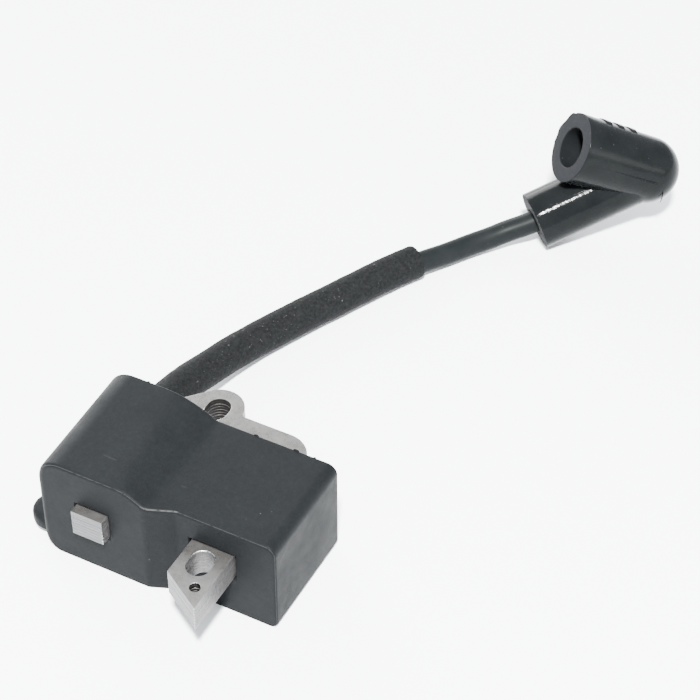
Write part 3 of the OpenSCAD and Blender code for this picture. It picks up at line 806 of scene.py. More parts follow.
def add_boot():
    """Two rubber tubes folded at 45 degrees, with flash, ribs and mould lines."""
    lead_tube, plug_tube = boot_axes()
    rim, edge = 0.3, 0.2
    tube_r = CABLE_TUBE_R + SWELL
    profile = [(0, -SWELL), (BOOT_BORE_R, -SWELL)]
    profile += [(tube_r - rim, -SWELL)] + corner((tube_r - rim, rim - SWELL), rim, -90, 0)[1:]
    profile += [(tube_r, CABLE_TUBE_L * i / 12) for i in range(1, 13)] + [(0, CABLE_TUBE_L)]
    body = lathe("boot_body", profile, lead_tube, 96)
    dome = corner((0, 0), PLUG_TUBE_R, -90, 0, 20)[1:]
    side = [(PLUG_TUBE_R + PLUG_SWELL * i / 12, (PLUG_TUBE_L - edge) * i / 12) for i in range(1, 13)]
    mouth = corner((PLUG_TUBE_R + PLUG_SWELL - edge, PLUG_TUBE_L - edge), edge, 0, 90)[1:]
    face = [(PLUG_BORE_R, PLUG_TUBE_L), (0, PLUG_TUBE_L)]
    tube = lathe("plug_tube", [(0, -PLUG_TUBE_R)] + dome + side + mouth + face, plug_tube, 128)
    cut(body, tube, "UNION")
    # flash torn off unevenly at the plug tube's mouth
    def torn(t):
        ragged = 0.95 * noise.noise(Vector((t * 5.2, 4.1, 0.5))) + 0.22
        return max(-0.1, ragged) * min(1, 8 * t, 8 * (1 - t))

    cut(body, skin_patch(plug_tube, PLUG_TUBE_R + PLUG_SWELL, 32, 112, PLUG_TUBE_L - 0.75,
                         PLUG_TUBE_L - 0.01, torn, 40), "UNION")
    # plain ribs where hands pull the boot off
    rib_w = 1.2
    for h in (5.6, 8.9, 12.2):
        rib = skin_patch(plug_tube, PLUG_TUBE_R + PLUG_SWELL * (1 - h / PLUG_TUBE_L), -2, 40,
                         PLUG_TUBE_L - h - rib_w, PLUG_TUBE_L - h,
                         lambda t: 0.3 * min(1, 6 * t, 6 * (1 - t)) - 0.02, 16)
        cut(body, rib, "UNION")
    over = 1
    chamfer = 0.15
    cut(body, lathe("bore", [(0, CHAMBER_S), (CHAMBER_R, CHAMBER_S),
                             (CHAMBER_R, PLUG_TUBE_L - PLUG_BORE_L),
                             (PLUG_BORE_R, PLUG_TUBE_L - PLUG_BORE_L),
                             (PLUG_BORE_R, PLUG_TUBE_L - chamfer),
                             (PLUG_BORE_R + chamfer + over, PLUG_TUBE_L + over),
                             (0, PLUG_TUBE_L + over)], plug_tube, 96))
    cut(body, lathe("bore", [(0, -over), (BOOT_BORE_R + 0.2 + over, -over), (BOOT_BORE_R, 0.2),
                             (BOOT_BORE_R, LEAD_IN_BOOT + 0.1), (0, LEAD_IN_BOOT + 0.1)],
                    lead_tube, 48))
    for turn, radius, angle, low, high, rise in (
        (lead_tube, tube_r, 49, 0.9, 24, 0.08),
        (plug_tube, PLUG_TUBE_R + PLUG_SWELL / 2, 274, 0.5, PLUG_TUBE_L - 1.6, 0.1),
    ):
        cut(body, mould_line(turn, radius, angle, low, high, rise), "UNION")
    # a thread of flash on the dome
    dome_at = plug_tube @ Vector((0, 0, 0))
    thread = [dome_at + length * Vector(way).normalized() for length, way in (
        (PLUG_TUBE_R - 0.2, (0.76, -0.52, -0.02)), (PLUG_TUBE_R + 0.1, (0.8, -0.56, -0.2)),
        (PLUG_TUBE_R + 0.45, (0.86, -0.62, -0.42)), (PLUG_TUBE_R + 0.9, (0.86, -0.68, -0.6)))]
    cut(body, swept("thread", thread, lambda i, a: 0.16 - 0.03 * i, 8), "UNION")

    # the swollen mouth is flat where it rests
    reach = 20
    cut(body, block((BOOT_MOUTH[0] - reach, BOOT_MOUTH[1] - reach, -reach),
                    (BOOT_MOUTH[0] + reach, BOOT_MOUTH[1] + reach, 0)))
    paint_boot(body, lead_tube, plug_tube, tube_r)
    return settle(body, boot_rubber(), "boot", "boot_rubber", "plug_boot", angle=40)


def add_boot_contact():
    """Brass cup on a bent prong, and the spring that meets the plug's terminal."""
    plug_tube = boot_axes()[1]
    prong_r, prong_x0, cup_r, cup_t = 0.6, 12, 3.7, 0.8
    cup = [(0, CHAMBER_S), (cup_r - 0.2, CHAMBER_S), (cup_r, CHAMBER_S + 0.2),
           (cup_r, CHAMBER_S + cup_t), (cup_r - 0.35, CHAMBER_S + cup_t),
           (cup_r - 0.5, CHAMBER_S + 0.5), (1.2, CHAMBER_S + 0.5), (0.9, CHAMBER_S + cup_t),
           (0, CHAMBER_S + cup_t)]
    terminal = lathe("boot_contact", cup, plug_tube, 48)
    start = boot_matrix() @ Vector((prong_x0, 0, 0))
    centre = boot_matrix() @ Vector((CABLE_TUBE_L, 0, 0))
    end = plug_tube @ Vector((0, 0, CHAMBER_S + 0.3))
    line = [start.lerp(centre, t / 10) for t in range(10)] + [centre.lerp(end, t / 6)
                                                             for t in range(1, 7)]
    prong = swept("prong", line, lambda i, a: prong_r * min(1, 0.15 + i * 0.5), 16)
    cut(terminal, prong, "UNION")
    brass = metal("contact_brass", (0.60, 0.45, 0.19), (0.76, 0.60, 0.30), (0.22, 0.38))
    settle(terminal, brass, "boot", "brass", "boot_terminal", angle=40)

    spring_r, wire_r, turns, pitch, steps = 3.1, 0.45, 4, 1.3, 28
    coil = []
    for i in range(turns * steps + 1):
        a = 2 * math.pi * i / steps
        h = CHAMBER_S + cup_t + wire_r + 0.02 + pitch * i / steps
        coil.append(plug_tube @ Vector((spring_r * math.cos(a), spring_r * math.sin(a), h)))
    spring = swept("contact_spring", coil, lambda i, a: wire_r, 14)
    wire = metal("spring_wire", (0.55, 0.55, 0.54), (0.74, 0.74, 0.73), (0.2, 0.32))
    settle(spring, wire, "boot", "tin", "boot_spring", angle=60)
    return terminal, spring


# ---------- housing ----------


def soft_ramp(t, soft):
    return (t + math.sqrt(t * t + soft * soft)) / 2


def front_y(x):
    """Front face of the housing: barrel, slant, box, with softened corners."""
    slope = (BOX_Y0 - BARREL_Y0) / (SLANT_X[1] - SLANT_X[0])
    return BARREL_Y0 + slope * (soft_ramp(x - SLANT_X[0], 0.15) - soft_ramp(x - SLANT_X[1], 0.15))


def soft_min(a, b, soft):
    h = min(1, max(0, 0.5 + 0.5 * (b - a) / soft))
    return b * (1 - h) + a * h - soft * h * (1 - h)


def profile_arc(centre, radius, start, end, hollow=False):
    """Points and outward normals, about 0.3 mm apart, angles in degrees."""
    steps = max(4, int(abs(math.radians(end - start)) * radius / 0.3))
    made = []
    for i in range(steps + 1):
        a = math.radians(start + (end - start) * i / steps)
        out = Vector((math.cos(a), math.sin(a)))
        made.append((Vector(centre) + radius * out, -out if hollow else out))
    return made


def housing_profile():
    """The housing's outline seen from the front, as four sides that start and end at 45 degrees
    in its corners: bottom, right, top, left. Each is a list of (point, normal)."""
    hump_a = math.asin((BOX_TOP + DIP_R - BARREL_TOP + HUMP_R) / (HUMP_R + DIP_R))
    hump = math.degrees(hump_a)
    dip_x = HUMP_X + (HUMP_R + DIP_R) * math.cos(hump_a)
    low_left = (BARREL_X0 + LOW_R, LOW_R)
    low_right = (BOX_RIGHT - BOX_LOW_R, BOX_LOW_R)
    top_right = (BOX_RIGHT - BOX_R, BOX_TOP - BOX_R)
    top_left = (BARREL_X0 + SHOULDER_R, BARREL_TOP - SHOULDER_R)
    bottom = profile_arc(low_left, LOW_R, 225, 270) + profile_arc(low_right, BOX_LOW_R, 270, 315)
    right = profile_arc(low_right, BOX_LOW_R, 315, 360) + profile_arc(top_right, BOX_R, 0, 45)
    top = (profile_arc(top_right, BOX_R, 45, 90)
           + profile_arc((dip_x, BOX_TOP + DIP_R), DIP_R, 270, 180 + hump, True)
           + profile_arc((HUMP_X, BARREL_TOP - HUMP_R), HUMP_R, hump, 90)
           + profile_arc(top_left, SHOULDER_R, 90, 135))
    left = profile_arc(top_left, SHOULDER_R, 135, 180) + profile_arc(low_left, LOW_R, 180, 225)
    return bottom, right, top, left


def resample(side, count):
    """count + 1 points and normals, evenly spaced along a side."""
    lengths = [0]
    for (a, _), (b, _) in zip(side, side[1:]):
        lengths.append(lengths[-1] + (b - a).length)
    made, k = [], 0
    for i in range(count + 1):
        at = lengths[-1] * i / count
        while k < len(side) - 2 and lengths[k + 1] < at:
            k += 1
        span = lengths[k + 1] - lengths[k]
        t = (at - lengths[k]) / span if span else 0
        (a, na), (b, nb) = side[k], side[k + 1]
        made.append((a.lerp(b, t), na.lerp(nb, t).normalized()))
    return made


ACROSS, UPWARD = 126, 64


def housing_loop():
    """The outline as one closed list, bottom, right, top, left."""
    bottom, right, top, left = housing_profile()
    return (resample(bottom, ACROSS)[:-1] + resample(right, UPWARD)[:-1]
            + resample(top, ACROSS)[:-1] + resample(left, UPWARD)[:-1])


def front_edge_r(normal):
    """How far the front edge is rounded: soft on the left, nearly sharp elsewhere."""
    side = 1.5 if normal.x < 0 else 0.6
    level = 0.7 if normal.y > 0 else 0.4
    return side * normal.x ** 2 + level * normal.y ** 2


def shell_point(item, inset, y):
    """A point of the outline drawn in by inset; the barrel's top falls towards the front."""
    p = item[0] - inset * item[1]
    fall = FRONT_DROP * max(0, RIM_Y - y) / (RIM_Y - BARREL_Y0)
    if item[0].x < BARREL_X0 + SHOULDER_R:
        low, high = BARREL_TOP / 2, BARREL_TOP - SHOULDER_R
        return Vector((p.x, y, p.y - fall * min(1, max(0, (item[0].y - low) / (high - low)))))
    soft = max(0.001, min(0.5, 1.5 * fall))
    return Vector((p.x, y, soft_min(p.y, BARREL_TOP - fall - inset, soft)))


def front_cap(loop, inset, depth):
    """Grid of points that fills the loop, on the front face moved back by depth."""
    def at(k):
        item = loop[k % len(loop)]
        return shell_point(item, inset[k % len(loop)], front_y(item[0].x) + depth)
    bottom = [at(i) for i in range(ACROSS + 1)]
    right = [at(ACROSS + j) for j in range(UPWARD + 1)]
    top = [at(2 * ACROSS + UPWARD - i) for i in range(ACROSS + 1)]
    left = [at(2 * (ACROSS + UPWARD) - j) for j in range(UPWARD + 1)]
    rows = []
    for j in range(UPWARD + 1):
        v = j / UPWARD
        row = []
        for i in range(ACROSS + 1):
            u = i / ACROSS
            p = ((1 - v) * bottom[i] + v * top[i] + (1 - u) * left[j] + u * right[j]
                 - (1 - u) * (1 - v) * bottom[0] - u * (1 - v) * bottom[-1]
                 - (1 - u) * v * top[0] - u * v * top[-1])
            row.append(Vector((p.x, front_y(p.x) + depth, p.z)))
        rows.append(row)
    return rows


def housing_shell():
    """Hollow moulding with soft edges, open at the rear, on one structured grid."""
    loop = housing_loop()
    size = len(loop)
    edge_r = [front_edge_r(n) for _, n in loop]
    rear_r = 0.35
    rings, wear_and_highlight = [], []

    def ring(inset_of, y_of, wear_and_highlight_of=lambda k: 0):
        rings.append([shell_point(loop[k], inset_of(k), y_of(k)) for k in range(size)])
        wear_and_highlight.append([wear_and_highlight_of(k) for k in range(size)])

    def start_y(k):
        return front_y(loop[k][0].x) + edge_r[k]

    # inside, from its front to the rear rim
    inside_steps = 8
    for i in range(inside_steps + 1):
        t = i / inside_steps
        ring(lambda k: WALL, lambda k: (front_y(loop[k][0].x) + WALL) * (1 - t)
             + (RIM_Y - 0.15) * t)
    ring(lambda k: WALL - 0.15, lambda k: RIM_Y)
    for a in (90, 60, 30, 0):
        c, s = math.cos(math.radians(a)), math.sin(math.radians(a))
        ring(lambda k: rear_r * (1 - c), lambda k: RIM_Y - rear_r * (1 - s),
             lambda k: 0.25 if 20 < a < 70 else 0)
    # outside, from the rear to the front edge
    outside_steps = 26
    for i in range(1, outside_steps):
        t = i / outside_steps
        ring(lambda k: 0, lambda k: (RIM_Y - rear_r) * (1 - t) + start_y(k) * t)
    # round front edge, with the fine ridge of the mould's parting line on it
    for a in (0, 10, 20, 30, 38, 42, 45, 48, 52, 60, 70, 80):
        c, s = math.cos(math.radians(a)), math.sin(math.radians(a))

        # pale band along the edge: wear, and on the slant's top edge a stronger painted highlight
        def edge_wear_and_highlight(k):
            x = loop[k][0].x
            if SLANT_X[0] - 0.3 < x < SLANT_X[1] + 0.2 and loop[k][1].y > 0.5:
                return 0.8 if 36 < a < 54 else 0
            return 0.4 if 40 < a < 50 else 0

        def inset(k):
            ridge = 0.07 * (1 + 0.6 * noise.noise(Vector((k * 0.13, 0, 3)))) if a == 45 else 0
            return edge_r[k] * (1 - c) - ridge * c

        def y_of(k):
            ridge = 0.05 if a == 45 else 0
            return front_y(loop[k][0].x) + edge_r[k] * (1 - s) - ridge * s

        ring(inset, y_of, edge_wear_and_highlight)
    points = [p for r in rings for p in r]
    faces = ring_quads(len(rings), size)

    def close(rows, first, flip):
        base = len(points)
        number = {}
        for j, row in enumerate(rows):
            for i, p in enumerate(row):
                if j == 0:
                    number[i, j] = first + i
                elif i == ACROSS:
                    number[i, j] = first + ACROSS + j
                elif j == UPWARD:
                    number[i, j] = first + 2 * ACROSS + UPWARD - i
                elif i == 0:
                    number[i, j] = first + 2 * (ACROSS + UPWARD) - j
                else:
                    number[i, j] = base
                    points.append(p)
                    base += 1
        for j in range(UPWARD):
            for i in range(ACROSS):
                quad = (number[i, j], number[i + 1, j], number[i + 1, j + 1], number[i, j + 1])
                faces.append(quad[::-1] if flip else quad)

    # outer face: one more ring, fully drawn in
    ring(lambda k: edge_r[k], lambda k: front_y(loop[k][0].x - edge_r[k] * loop[k][1].x))
    outer_first = len(points)
    points += rings[-1]
    last = len(rings) - 1
    for k in range(size):
        j = (k + 1) % size
        faces.append(((last - 1) * size + k, (last - 1) * size + j, outer_first + j,
                      outer_first + k))
    close(front_cap(loop, edge_r, 0), outer_first, False)
    close(front_cap(loop, [WALL] * size, WALL), 0, True)
    shell = mesh_from("housing_shell", points, faces)
    layer = shell.data.attributes.new("wear_and_highlight", "FLOAT", "POINT")
    flat = [w for r in wear_and_highlight for w in r]
    for k, value in enumerate(flat):
        layer.data[k].value = value
    return outward(shell)


def frustum_window(low, high, y, chamfer, deep):
    """A window's cutting tool: straight, with a small chamfer at its mouth at y."""
    x0, z0 = low
    x1, z1 = high
    return ring_mesh("window", [
        [(x0 - out, at, z0 - out), (x1 + out, at, z0 - out), (x1 + out, at, z1 + out),
         (x0 - out, at, z1 + out)]
        for out, at in ((chamfer + 1, y - 1), (0, y + chamfer), (0, deep))])


def lead_axis():
    """Turns a lathe's z to the lead's way through the housing."""
    return Matrix.Translation((LEAD_X, 0, LEAD_Z)) @ Matrix.Rotation(math.radians(-90), 4, "X")


def add_housing():
    body = housing_shell()
    tunnel_low = (LEG_X0 - WINDOW_GAP[0] - TUNNEL_WALL, BOX_Y0 + 0.5,
                  STACK_Z - WINDOW_GAP[1] - TUNNEL_WALL)
    tunnel_high = (LEG_X1 + WINDOW_GAP[0] + TUNNEL_WALL, RESIN_Y + 0.01,
                   STACK_Z + STACK_H + WINDOW_GAP[1] + TUNNEL_WALL)
    cut(body, block(tunnel_low, tunnel_high), "UNION")
    along_y = lead_axis()
    lip = 0.4
    socket = [(0, SOCKET_Y[0]), (SOCKET_R, SOCKET_Y[0])]
    socket += corner((SOCKET_R - lip, SOCKET_Y[1] - lip), lip, 0, 90) + [(0, SOCKET_Y[1])]
    cut(body, lathe("socket", socket, along_y, 64), "UNION")
    ear_turn = Matrix.Translation((LUG_C[0], LUG_C[1], 0))
    ear_r = LUG_R - LUG_EDGE_R
    ear = [(0, LUG_Z[0])] + corner((ear_r, LUG_Z[0] + LUG_EDGE_R), LUG_EDGE_R, -90, 0)
    ear += corner((ear_r, LUG_Z[1] - LUG_EDGE_R), LUG_EDGE_R, 0, 90) + [(0, LUG_Z[1])]
    lug = lathe("lug", ear, ear_turn, 64)
    inside = BARREL_X0 + WALL / 2
    far = 40
    cut(lug, block((inside, -far, -far), (far, far, far)))
    cut(body, lug, "UNION")
    neck = 0.4
    cut(body, rounded_block((LUG_C[0], LUG_C[1] - LUG_R + neck, LUG_Z[0] + neck),
                            (inside, LUG_C[1] + LUG_R - neck, LUG_Z[1] - neck), 0.6), "UNION")
    # openings
    gap = 0.12
    cut(body, frustum_window((-POLE_X - gap, STACK_Z - gap),
                             (POLE_X + gap, STACK_Z + STACK_H + gap), BARREL_Y0, 0.35, 0))
    cut(body, frustum_window((LEG_X0 - WINDOW_GAP[0], STACK_Z - WINDOW_GAP[1]),
                             (LEG_X1 + WINDOW_GAP[0], STACK_Z + STACK_H + WINDOW_GAP[1]),
                             BOX_Y0, 0.2, RIM_Y + 1))
    over = 1
    bore = [(0, SOCKET_Y[0] - over), (SOCKET_BORE_R, SOCKET_Y[0] - over),
            (SOCKET_BORE_R, SOCKET_Y[1] - 0.3), (SOCKET_BORE_R + 0.3 + over, SOCKET_Y[1] + over),
            (0, SOCKET_Y[1] + over)]
    cut(body, lathe("bore", bore, along_y, 48))
    blade_z0 = (LUG_Z[0] + LUG_Z[1] - BLADE_W) / 2
    cut(body, block((BLADE_X - BLADE_T / 2, LUG_C[1], blade_z0),
                    (BLADE_X + BLADE_T / 2, LUG_C[1] + LUG_R + over, blade_z0 + BLADE_W)))
    # flash left on the rear edge of the lid where the two mould halves meet
    flash = random.Random(5)
    nibs = []
    for x, big in ((20.8, 1.0), (29.5, 1.3), (4.5, 0.6), (-3, 0.5), (33.5, 0.5)):
        z = BOX_TOP if x > 14 else BARREL_TOP
        turn = (Matrix.Translation((x, RIM_Y - 0.12, z - 0.12))
                @ Matrix.Diagonal((0.55 * big, 0.22, 0.32 * big, 1)))
        ball = [(0, -1)] + corner((0, 0), 1, -80, 80, 8) + [(0, 1)]
        nib = lathe("nib", ball, turn, 14)
        for vertex in nib.data.vertices:
            vertex.co += 0.03 * Vector([flash.uniform(-1, 1) for _ in range(3)])
        nibs.append(nib)
    for nib in nibs:
        cut(body, nib, "UNION")
    return settle(body, moulded_plastic(), "module", "housing_plastic", "housing", angle=32)


# ---------- core ----------


def front_edge_y(x):
    """The bevel on the right leg's tip."""
    a = math.asin(LEG_PITCH / POLE_CIRCLE_R)
    return (-POLE_REACH - POLE_CIRCLE_R + POLE_CIRCLE_R * math.cos(a)
            - (x - LEG_PITCH) * math.tan(a))


def arc_2d(centre, radius, start, end, steps=10):
    return [(centre[0] + radius * math.cos(start + (end - start) * i / steps),
             centre[1] + radius * math.sin(start + (end - start) * i / steps))
            for i in range(steps + 1)]


def core_outline():
    quarter = math.pi / 2
    root = 0.6
    flare_r = 1
    dy = flare_r + YOKE_Y1 - TAB_C[1]
    flare = (TAB_C[0] + math.sqrt((TAB_R + flare_r) ** 2 - dy ** 2), TAB_C[1] + dy)
    flare_a = math.atan2(dy, flare[0] - TAB_C[0])
    flank = (TAB_C[0] + TAB_R * math.cos(TAB_FLANK_A), TAB_C[1] + TAB_R * math.sin(TAB_FLANK_A))
    flank_y = flank[1] - (flank[0] + POLE_X) * math.tan(TAB_FLANK_A - quarter)
    outline = [(-POLE_X, -POLE_REACH), (POLE_X, -POLE_REACH)]
    outline += arc_2d((POLE_X + root, YOKE_Y0 - root), root, math.pi, quarter, 5)
    outline += arc_2d((LEG_X0 - root, YOKE_Y0 - root), root, quarter, 0, 5)
    outline += [(LEG_X0, front_edge_y(LEG_X0)), (LEG_X1, front_edge_y(LEG_X1))]
    outline += arc_2d((LEG_X1 - YOKE_CORNER_R, YOKE_Y1 - YOKE_CORNER_R), YOKE_CORNER_R, 0,
                      quarter, 16)
    outline += arc_2d(flare, flare_r, -quarter, flare_a - math.pi, 8)
    outline += arc_2d(TAB_C, TAB_R, flare_a, TAB_FLANK_A, 28)
    return outline + [(-POLE_X, flank_y)]


SLOT_STEPS = 20


def slot_outline(centre, grow=0.0):
    """A slot with round ends, its long way along y."""
    radius = SLOT_W / 2 + grow
    half = (SLOT_L - SLOT_W) / 2
    return (arc_2d((centre[0], centre[1] + half), radius, 0, math.pi, SLOT_STEPS)
            + arc_2d((centre[0], centre[1] - half), radius, math.pi, 2 * math.pi,
                     SLOT_STEPS))


def flat_curve(name, outlines, thick, bevel, z, shift=(0, 0)):
    """A plate with holes and softened edges, from closed outlines."""
    data = bpy.data.curves.new(name, "CURVE")
    data.dimensions = "2D"
    data.fill_mode = "BOTH"
    data.extrude = thick / 2 - bevel
    data.bevel_depth = bevel
    data.bevel_resolution = 1
    data.offset = -bevel
    for outline in outlines:
        spline = data.splines.new("POLY")
        spline.points.add(len(outline) - 1)
        spline.use_cyclic_u = True
        for point, (x, y) in zip(spline.points, outline):
            point.co = (x + shift[0], y + shift[1], 0, 1)
    curve = bpy.data.objects.new(name, data)
    SCENE.collection.objects.link(curve)
    mesh = evaluated_mesh(curve)
    remove(curve)
    mesh.transform(Matrix.Translation((0, 0, z + thick / 2)))
    plate = bpy.data.objects.new(name, mesh)
    SCENE.collection.objects.link(plate)
    reworked(plate, lambda work: bmesh.ops.remove_doubles(work, verts=work.verts, dist=0.0005))
    return outward(plate)


def add_core():
    """Eight stamped plates, each a hair out of line with the next."""
    wander = random.Random(11)
    outline = core_outline()
    holes = [slot_outline(FRONT_SLOT), slot_outline(REAR_SLOT),
             arc_2d(PILOT, PILOT_R, 0, 2 * math.pi * 23 / 24, 23)]
    plates = []
    bevel = 0.07
    for i in range(PLATES):
        shift = (wander.uniform(-0.035, 0.035), wander.uniform(-0.04, 0.02))
        z = STACK_Z + i * PLATE_PITCH
        plates.append(flat_curve(f"plate_{i}", [outline, *holes], PLATE_T, bevel, z, shift))
    core = merge(*plates)
    core.name = "core_plates"
    half = (SLOT_L - SLOT_W) / 2
    near = bevel - 0.01

    def hole_shade(co):
        """Painted shade in the punched holes: the tooling hole, and the rear slot's walls."""
        height = (co.z - STACK_Z) % PLATE_PITCH
        if not near < height < PLATE_T - near:
            return 0
        if math.hypot(co.x - PILOT[0], co.y - PILOT[1]) < PILOT_R + near:
            return 1
        off = abs(co.y - REAR_SLOT[1])
        wall = math.hypot(co.x - REAR_SLOT[0], max(0, off - half))
        return 0.8 if wall < SLOT_W / 2 + near else 0

    paint(core, "hole_shade", hole_shade)
    settle(core, core_steel(), "module", "core_steel", "core_laminations", angle=12)
    return core


def add_burrs():
    """Raised rim that the punch left round the slots, the tooling hole and a pole corner."""
    top = STACK_Z + STACK_H - 0.02
    rough = random.Random(3)

    def rim(outline, wide):
        line = [Vector((x, y, top)) for x, y in outline]
        return swept("rim", line, lambda i, a: wide * (0.75 + 0.5 * rough.random()), 6)

    half = SLOT_STEPS + 1
    made = rim(slot_outline(FRONT_SLOT, 0.02)[:half], 0.11)
    other = rim(slot_outline(REAR_SLOT, 0.02)[half:], 0.07)
    hole = rim(arc_2d(PILOT, PILOT_R, 0.2, 3.0, 14), 0.06)
    tip = (LEG_X1, front_edge_y(LEG_X1))
    beads = []
    for i in range(PLATES):
        z = STACK_Z + (i + 0.5) * PLATE_PITCH
        line = [Vector((tip[0] - 0.1, tip[1] + 0.06, z - 0.22)),
                Vector((tip[0] - 0.07 + 0.04 * rough.random(), tip[1] + 0.03, z)),
                Vector((tip[0] - 0.1, tip[1] + 0.06, z + 0.22))]
        beads.append(swept("bead", line, lambda i, a: 0.14 if i == 1 else 0.03, 6))
    pole = []
    for i in range(14):
        z = STACK_Z + 0.1 + rough.random() * 3.6
        x = POLE_X - 0.05 + 0.12 * rough.random()
        line = [Vector((x, -POLE_REACH + 0.3, z)), Vector((x - 0.1, -POLE_REACH - 0.02, z + 0.1))]
        pole.append(swept("burr", line, lambda i, a: 0.05 + 0.05 * rough.random(), 5))
    merge(made, other, hole, *beads, *pole)
    made.name = "punch_burrs"
    return settle(made, bright_burr(), "module", "core_steel", angle=60)


# ---------- terminal, seal and resin ----------


def add_blade():
    """Push-on blade of the stop switch, with its detent hole and pointed end."""
    z0 = (LUG_Z[0] + LUG_Z[1] - BLADE_W) / 2
    z1 = z0 + BLADE_W
    x0, x1 = BLADE_X - BLADE_T / 2, BLADE_X + BLADE_T / 2
    y0 = LUG_C[1] + 0.1
    nose, taper = 0.7, 0.25
    blade = ring_mesh("stop_blade", [
        [(x0 + dx, y, z0 + dz), (x1 - dx, y, z0 + dz), (x1 - dx, y, z1 - dz), (x0 + dx, y, z1 - dz)]
        for y, dz, dx in ((y0, 0, 0), (BLADE_Y1 - nose, 0, 0), (BLADE_Y1, nose * 0.7, taper))])
    across = (Matrix.Translation((BLADE_X, BLADE_Y1 - 3.4, (z0 + z1) / 2))
              @ Matrix.Rotation(math.radians(90), 4, "Y"))
    cut(blade, lathe("hole", [(0, -2), (0.6, -2), (0.6, 2), (0, 2)], across, 32))
    brass = metal("blade_brass", (0.62, 0.48, 0.20), (0.78, 0.63, 0.32), (0.24, 0.4),
                  stretch=(1, 0.1, 1))
    return settle(blade, brass, "module", "brass", "stop_terminal", angle=30)


def add_seal():
    """Rubber seal round the lead, slightly domed where it shows."""
    along_y = lead_axis()
    inner = LEAD_R + 0.02
    outer = SOCKET_BORE_R
    y0, y1 = SOCKET_Y[0], SOCKET_Y[1]
    profile = [(inner, y0), (outer, y0), (outer, y1 - 0.45), (outer - 0.12, y1 - 0.18),
               (outer - 0.3, y1 - 0.1), (inner + 0.08, y1 - 0.16), (inner, y1 - 0.3)]
    seal = lathe("lead_seal", profile, along_y, 48)
    rubber = dipped_case("seal_rubber", (0.018, 0.018, 0.019), (0.03, 0.03, 0.031), (0.5, 0.7))
    return settle(seal, rubber, "module", "grommet_rubber", "lead_grommet", angle=40)


def add_resin_creep():
    """Resin that crept up the housing's inner wall before it set: a thin fillet."""
    section = ((0.0, 0.02), (0.34, 0.02), (0.12, 0.12), (0.03, 0.34))
    rings = []
    for k, item in enumerate(housing_loop()):
        climb = 1 + 0.5 * noise.noise(Vector((k * 0.05, 7, 0)))
        rings.append([shell_point(item, WALL + 0.005 + inward * climb, RESIN_Y + up * climb - 0.015)
                      for inward, up in section])
    creep = ring_mesh("resin_creep", rings, looped=True)
    return settle(creep, cast_resin(), "module", "resin", angle=60)


# ---------- finishes of the CAD solids that stay ----------


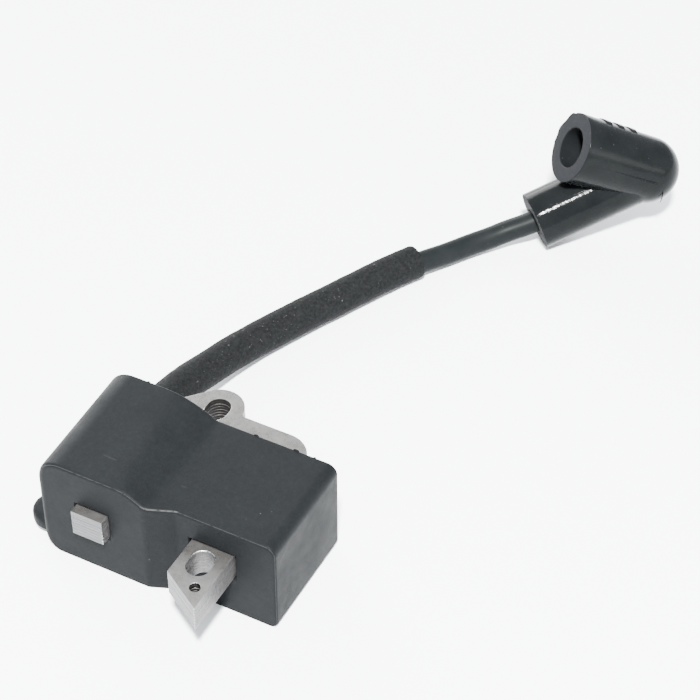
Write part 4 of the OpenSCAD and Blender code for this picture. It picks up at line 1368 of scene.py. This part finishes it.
def finish_solids():
    looks = {
        "potting_resin": cast_resin(),
        "core_rivets": metal("rivet_steel", (0.45, 0.44, 0.43), (0.6, 0.59, 0.58), (0.3, 0.45)),
        "charge_winding": wound_wire("charge_wire", (0.62, 0.26, 0.10), (0.80, 0.40, 0.20), 0.25),
        "primary_winding": wound_wire("primary_wire", (0.58, 0.22, 0.08), (0.78, 0.36, 0.17), 0.4),
        "secondary_winding": wound_wire("secondary_wire", (0.42, 0.14, 0.05),
                                        (0.56, 0.24, 0.10), 0.12),
        "tension_spike": metal("spike_brass", (0.60, 0.45, 0.19), (0.74, 0.58, 0.3), (0.25, 0.4)),
        "circuit_board": circuit_green(),
        "storage_capacitor": dipped_case("capacitor_red", (0.42, 0.04, 0.02), (0.55, 0.07, 0.04),
                                         (0.2, 0.35), 0.05),
        "thyristor": dipped_case("thyristor_black", (0.02, 0.02, 0.022), (0.04, 0.04, 0.042),
                                 (0.4, 0.55)),
        "timing_chip": dipped_case("chip_black", (0.022, 0.022, 0.024), (0.036, 0.036, 0.038),
                                   (0.5, 0.65)),
        "rectifier_diodes": dipped_case("diode_black", (0.018, 0.018, 0.02), (0.03, 0.03, 0.032),
                                        (0.35, 0.5)),
        "resistors": banded_resistor(6.2),
        "jumper_wires": metal("jumper_copper", (0.62, 0.27, 0.12), (0.8, 0.42, 0.24), (0.2, 0.35)),
        "ground_contact": metal("contact_tin", (0.55, 0.55, 0.54), (0.7, 0.7, 0.69), (0.25, 0.4)),
        "stop_wire": metal("stop_copper", (0.60, 0.26, 0.12), (0.78, 0.40, 0.22), (0.2, 0.35)),
        "lead_conductor": metal("strand_copper", (0.62, 0.28, 0.13), (0.82, 0.44, 0.26),
                                (0.2, 0.35), 0.05, 3000, (1, 0.2, 1)),
    }
    nylon = moulded_nylon()
    for name in ("charge_bobbin", "primary_bobbin", "secondary_bobbin"):
        looks[name] = nylon
    for name, material in looks.items():
        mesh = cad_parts[name].data
        mesh.materials.clear()
        mesh.materials.append(material)


# ---------- stage ----------


def add_stage():
    size = 3
    floor = mesh_from("floor", [(-size, -size, 0), (size, -size, 0), (size, size, 0),
                                (-size, size, 0)], [(0, 1, 2, 3)])
    s = Shader("floor_white", Base_Color=(0.90, 0.92, 0.93, 1), Roughness=0.5)
    s.main.inputs["Specular IOR Level"].default_value = 0.2
    floor.data.materials.append(s.material)

    world = bpy.data.worlds.new("studio")
    SCENE.world = world
    world.use_nodes = True
    sky = world.node_tree.nodes["Background"]
    sky.inputs["Color"].default_value = (0.90, 0.95, 1.0, 1)
    sky.inputs["Strength"].default_value = 1.8

    centre = Vector((0, 0.05, 0))
    for name, place, size, power in (
        ("lamp", (0.31, -0.54, 1.12), 0.12, 145),
        ("left_wall", (-1.1, 0.9, 0.5), 0.8, 48),
        ("right_wall", (1.3, 0.0, 0.36), 0.35, 6),
    ):
        light = bpy.data.lights.new(name, "AREA")
        light.size = size
        light.energy = power
        lamp = bpy.data.objects.new(name, light)
        lamp.location = place
        lamp.rotation_mode = "QUATERNION"
        lamp.rotation_quaternion = (centre - lamp.location).to_track_quat("-Z", "Y")
        SCENE.collection.objects.link(lamp)


add_camera()
LEAD = add_lead()
SLEEVE = add_sleeve()
BOOT = add_boot()
CONTACT, SPRING = add_boot_contact()
add_housing()
add_core()
add_burrs()
add_blade()
add_seal()
add_resin_creep()
finish_solids()
add_stage()
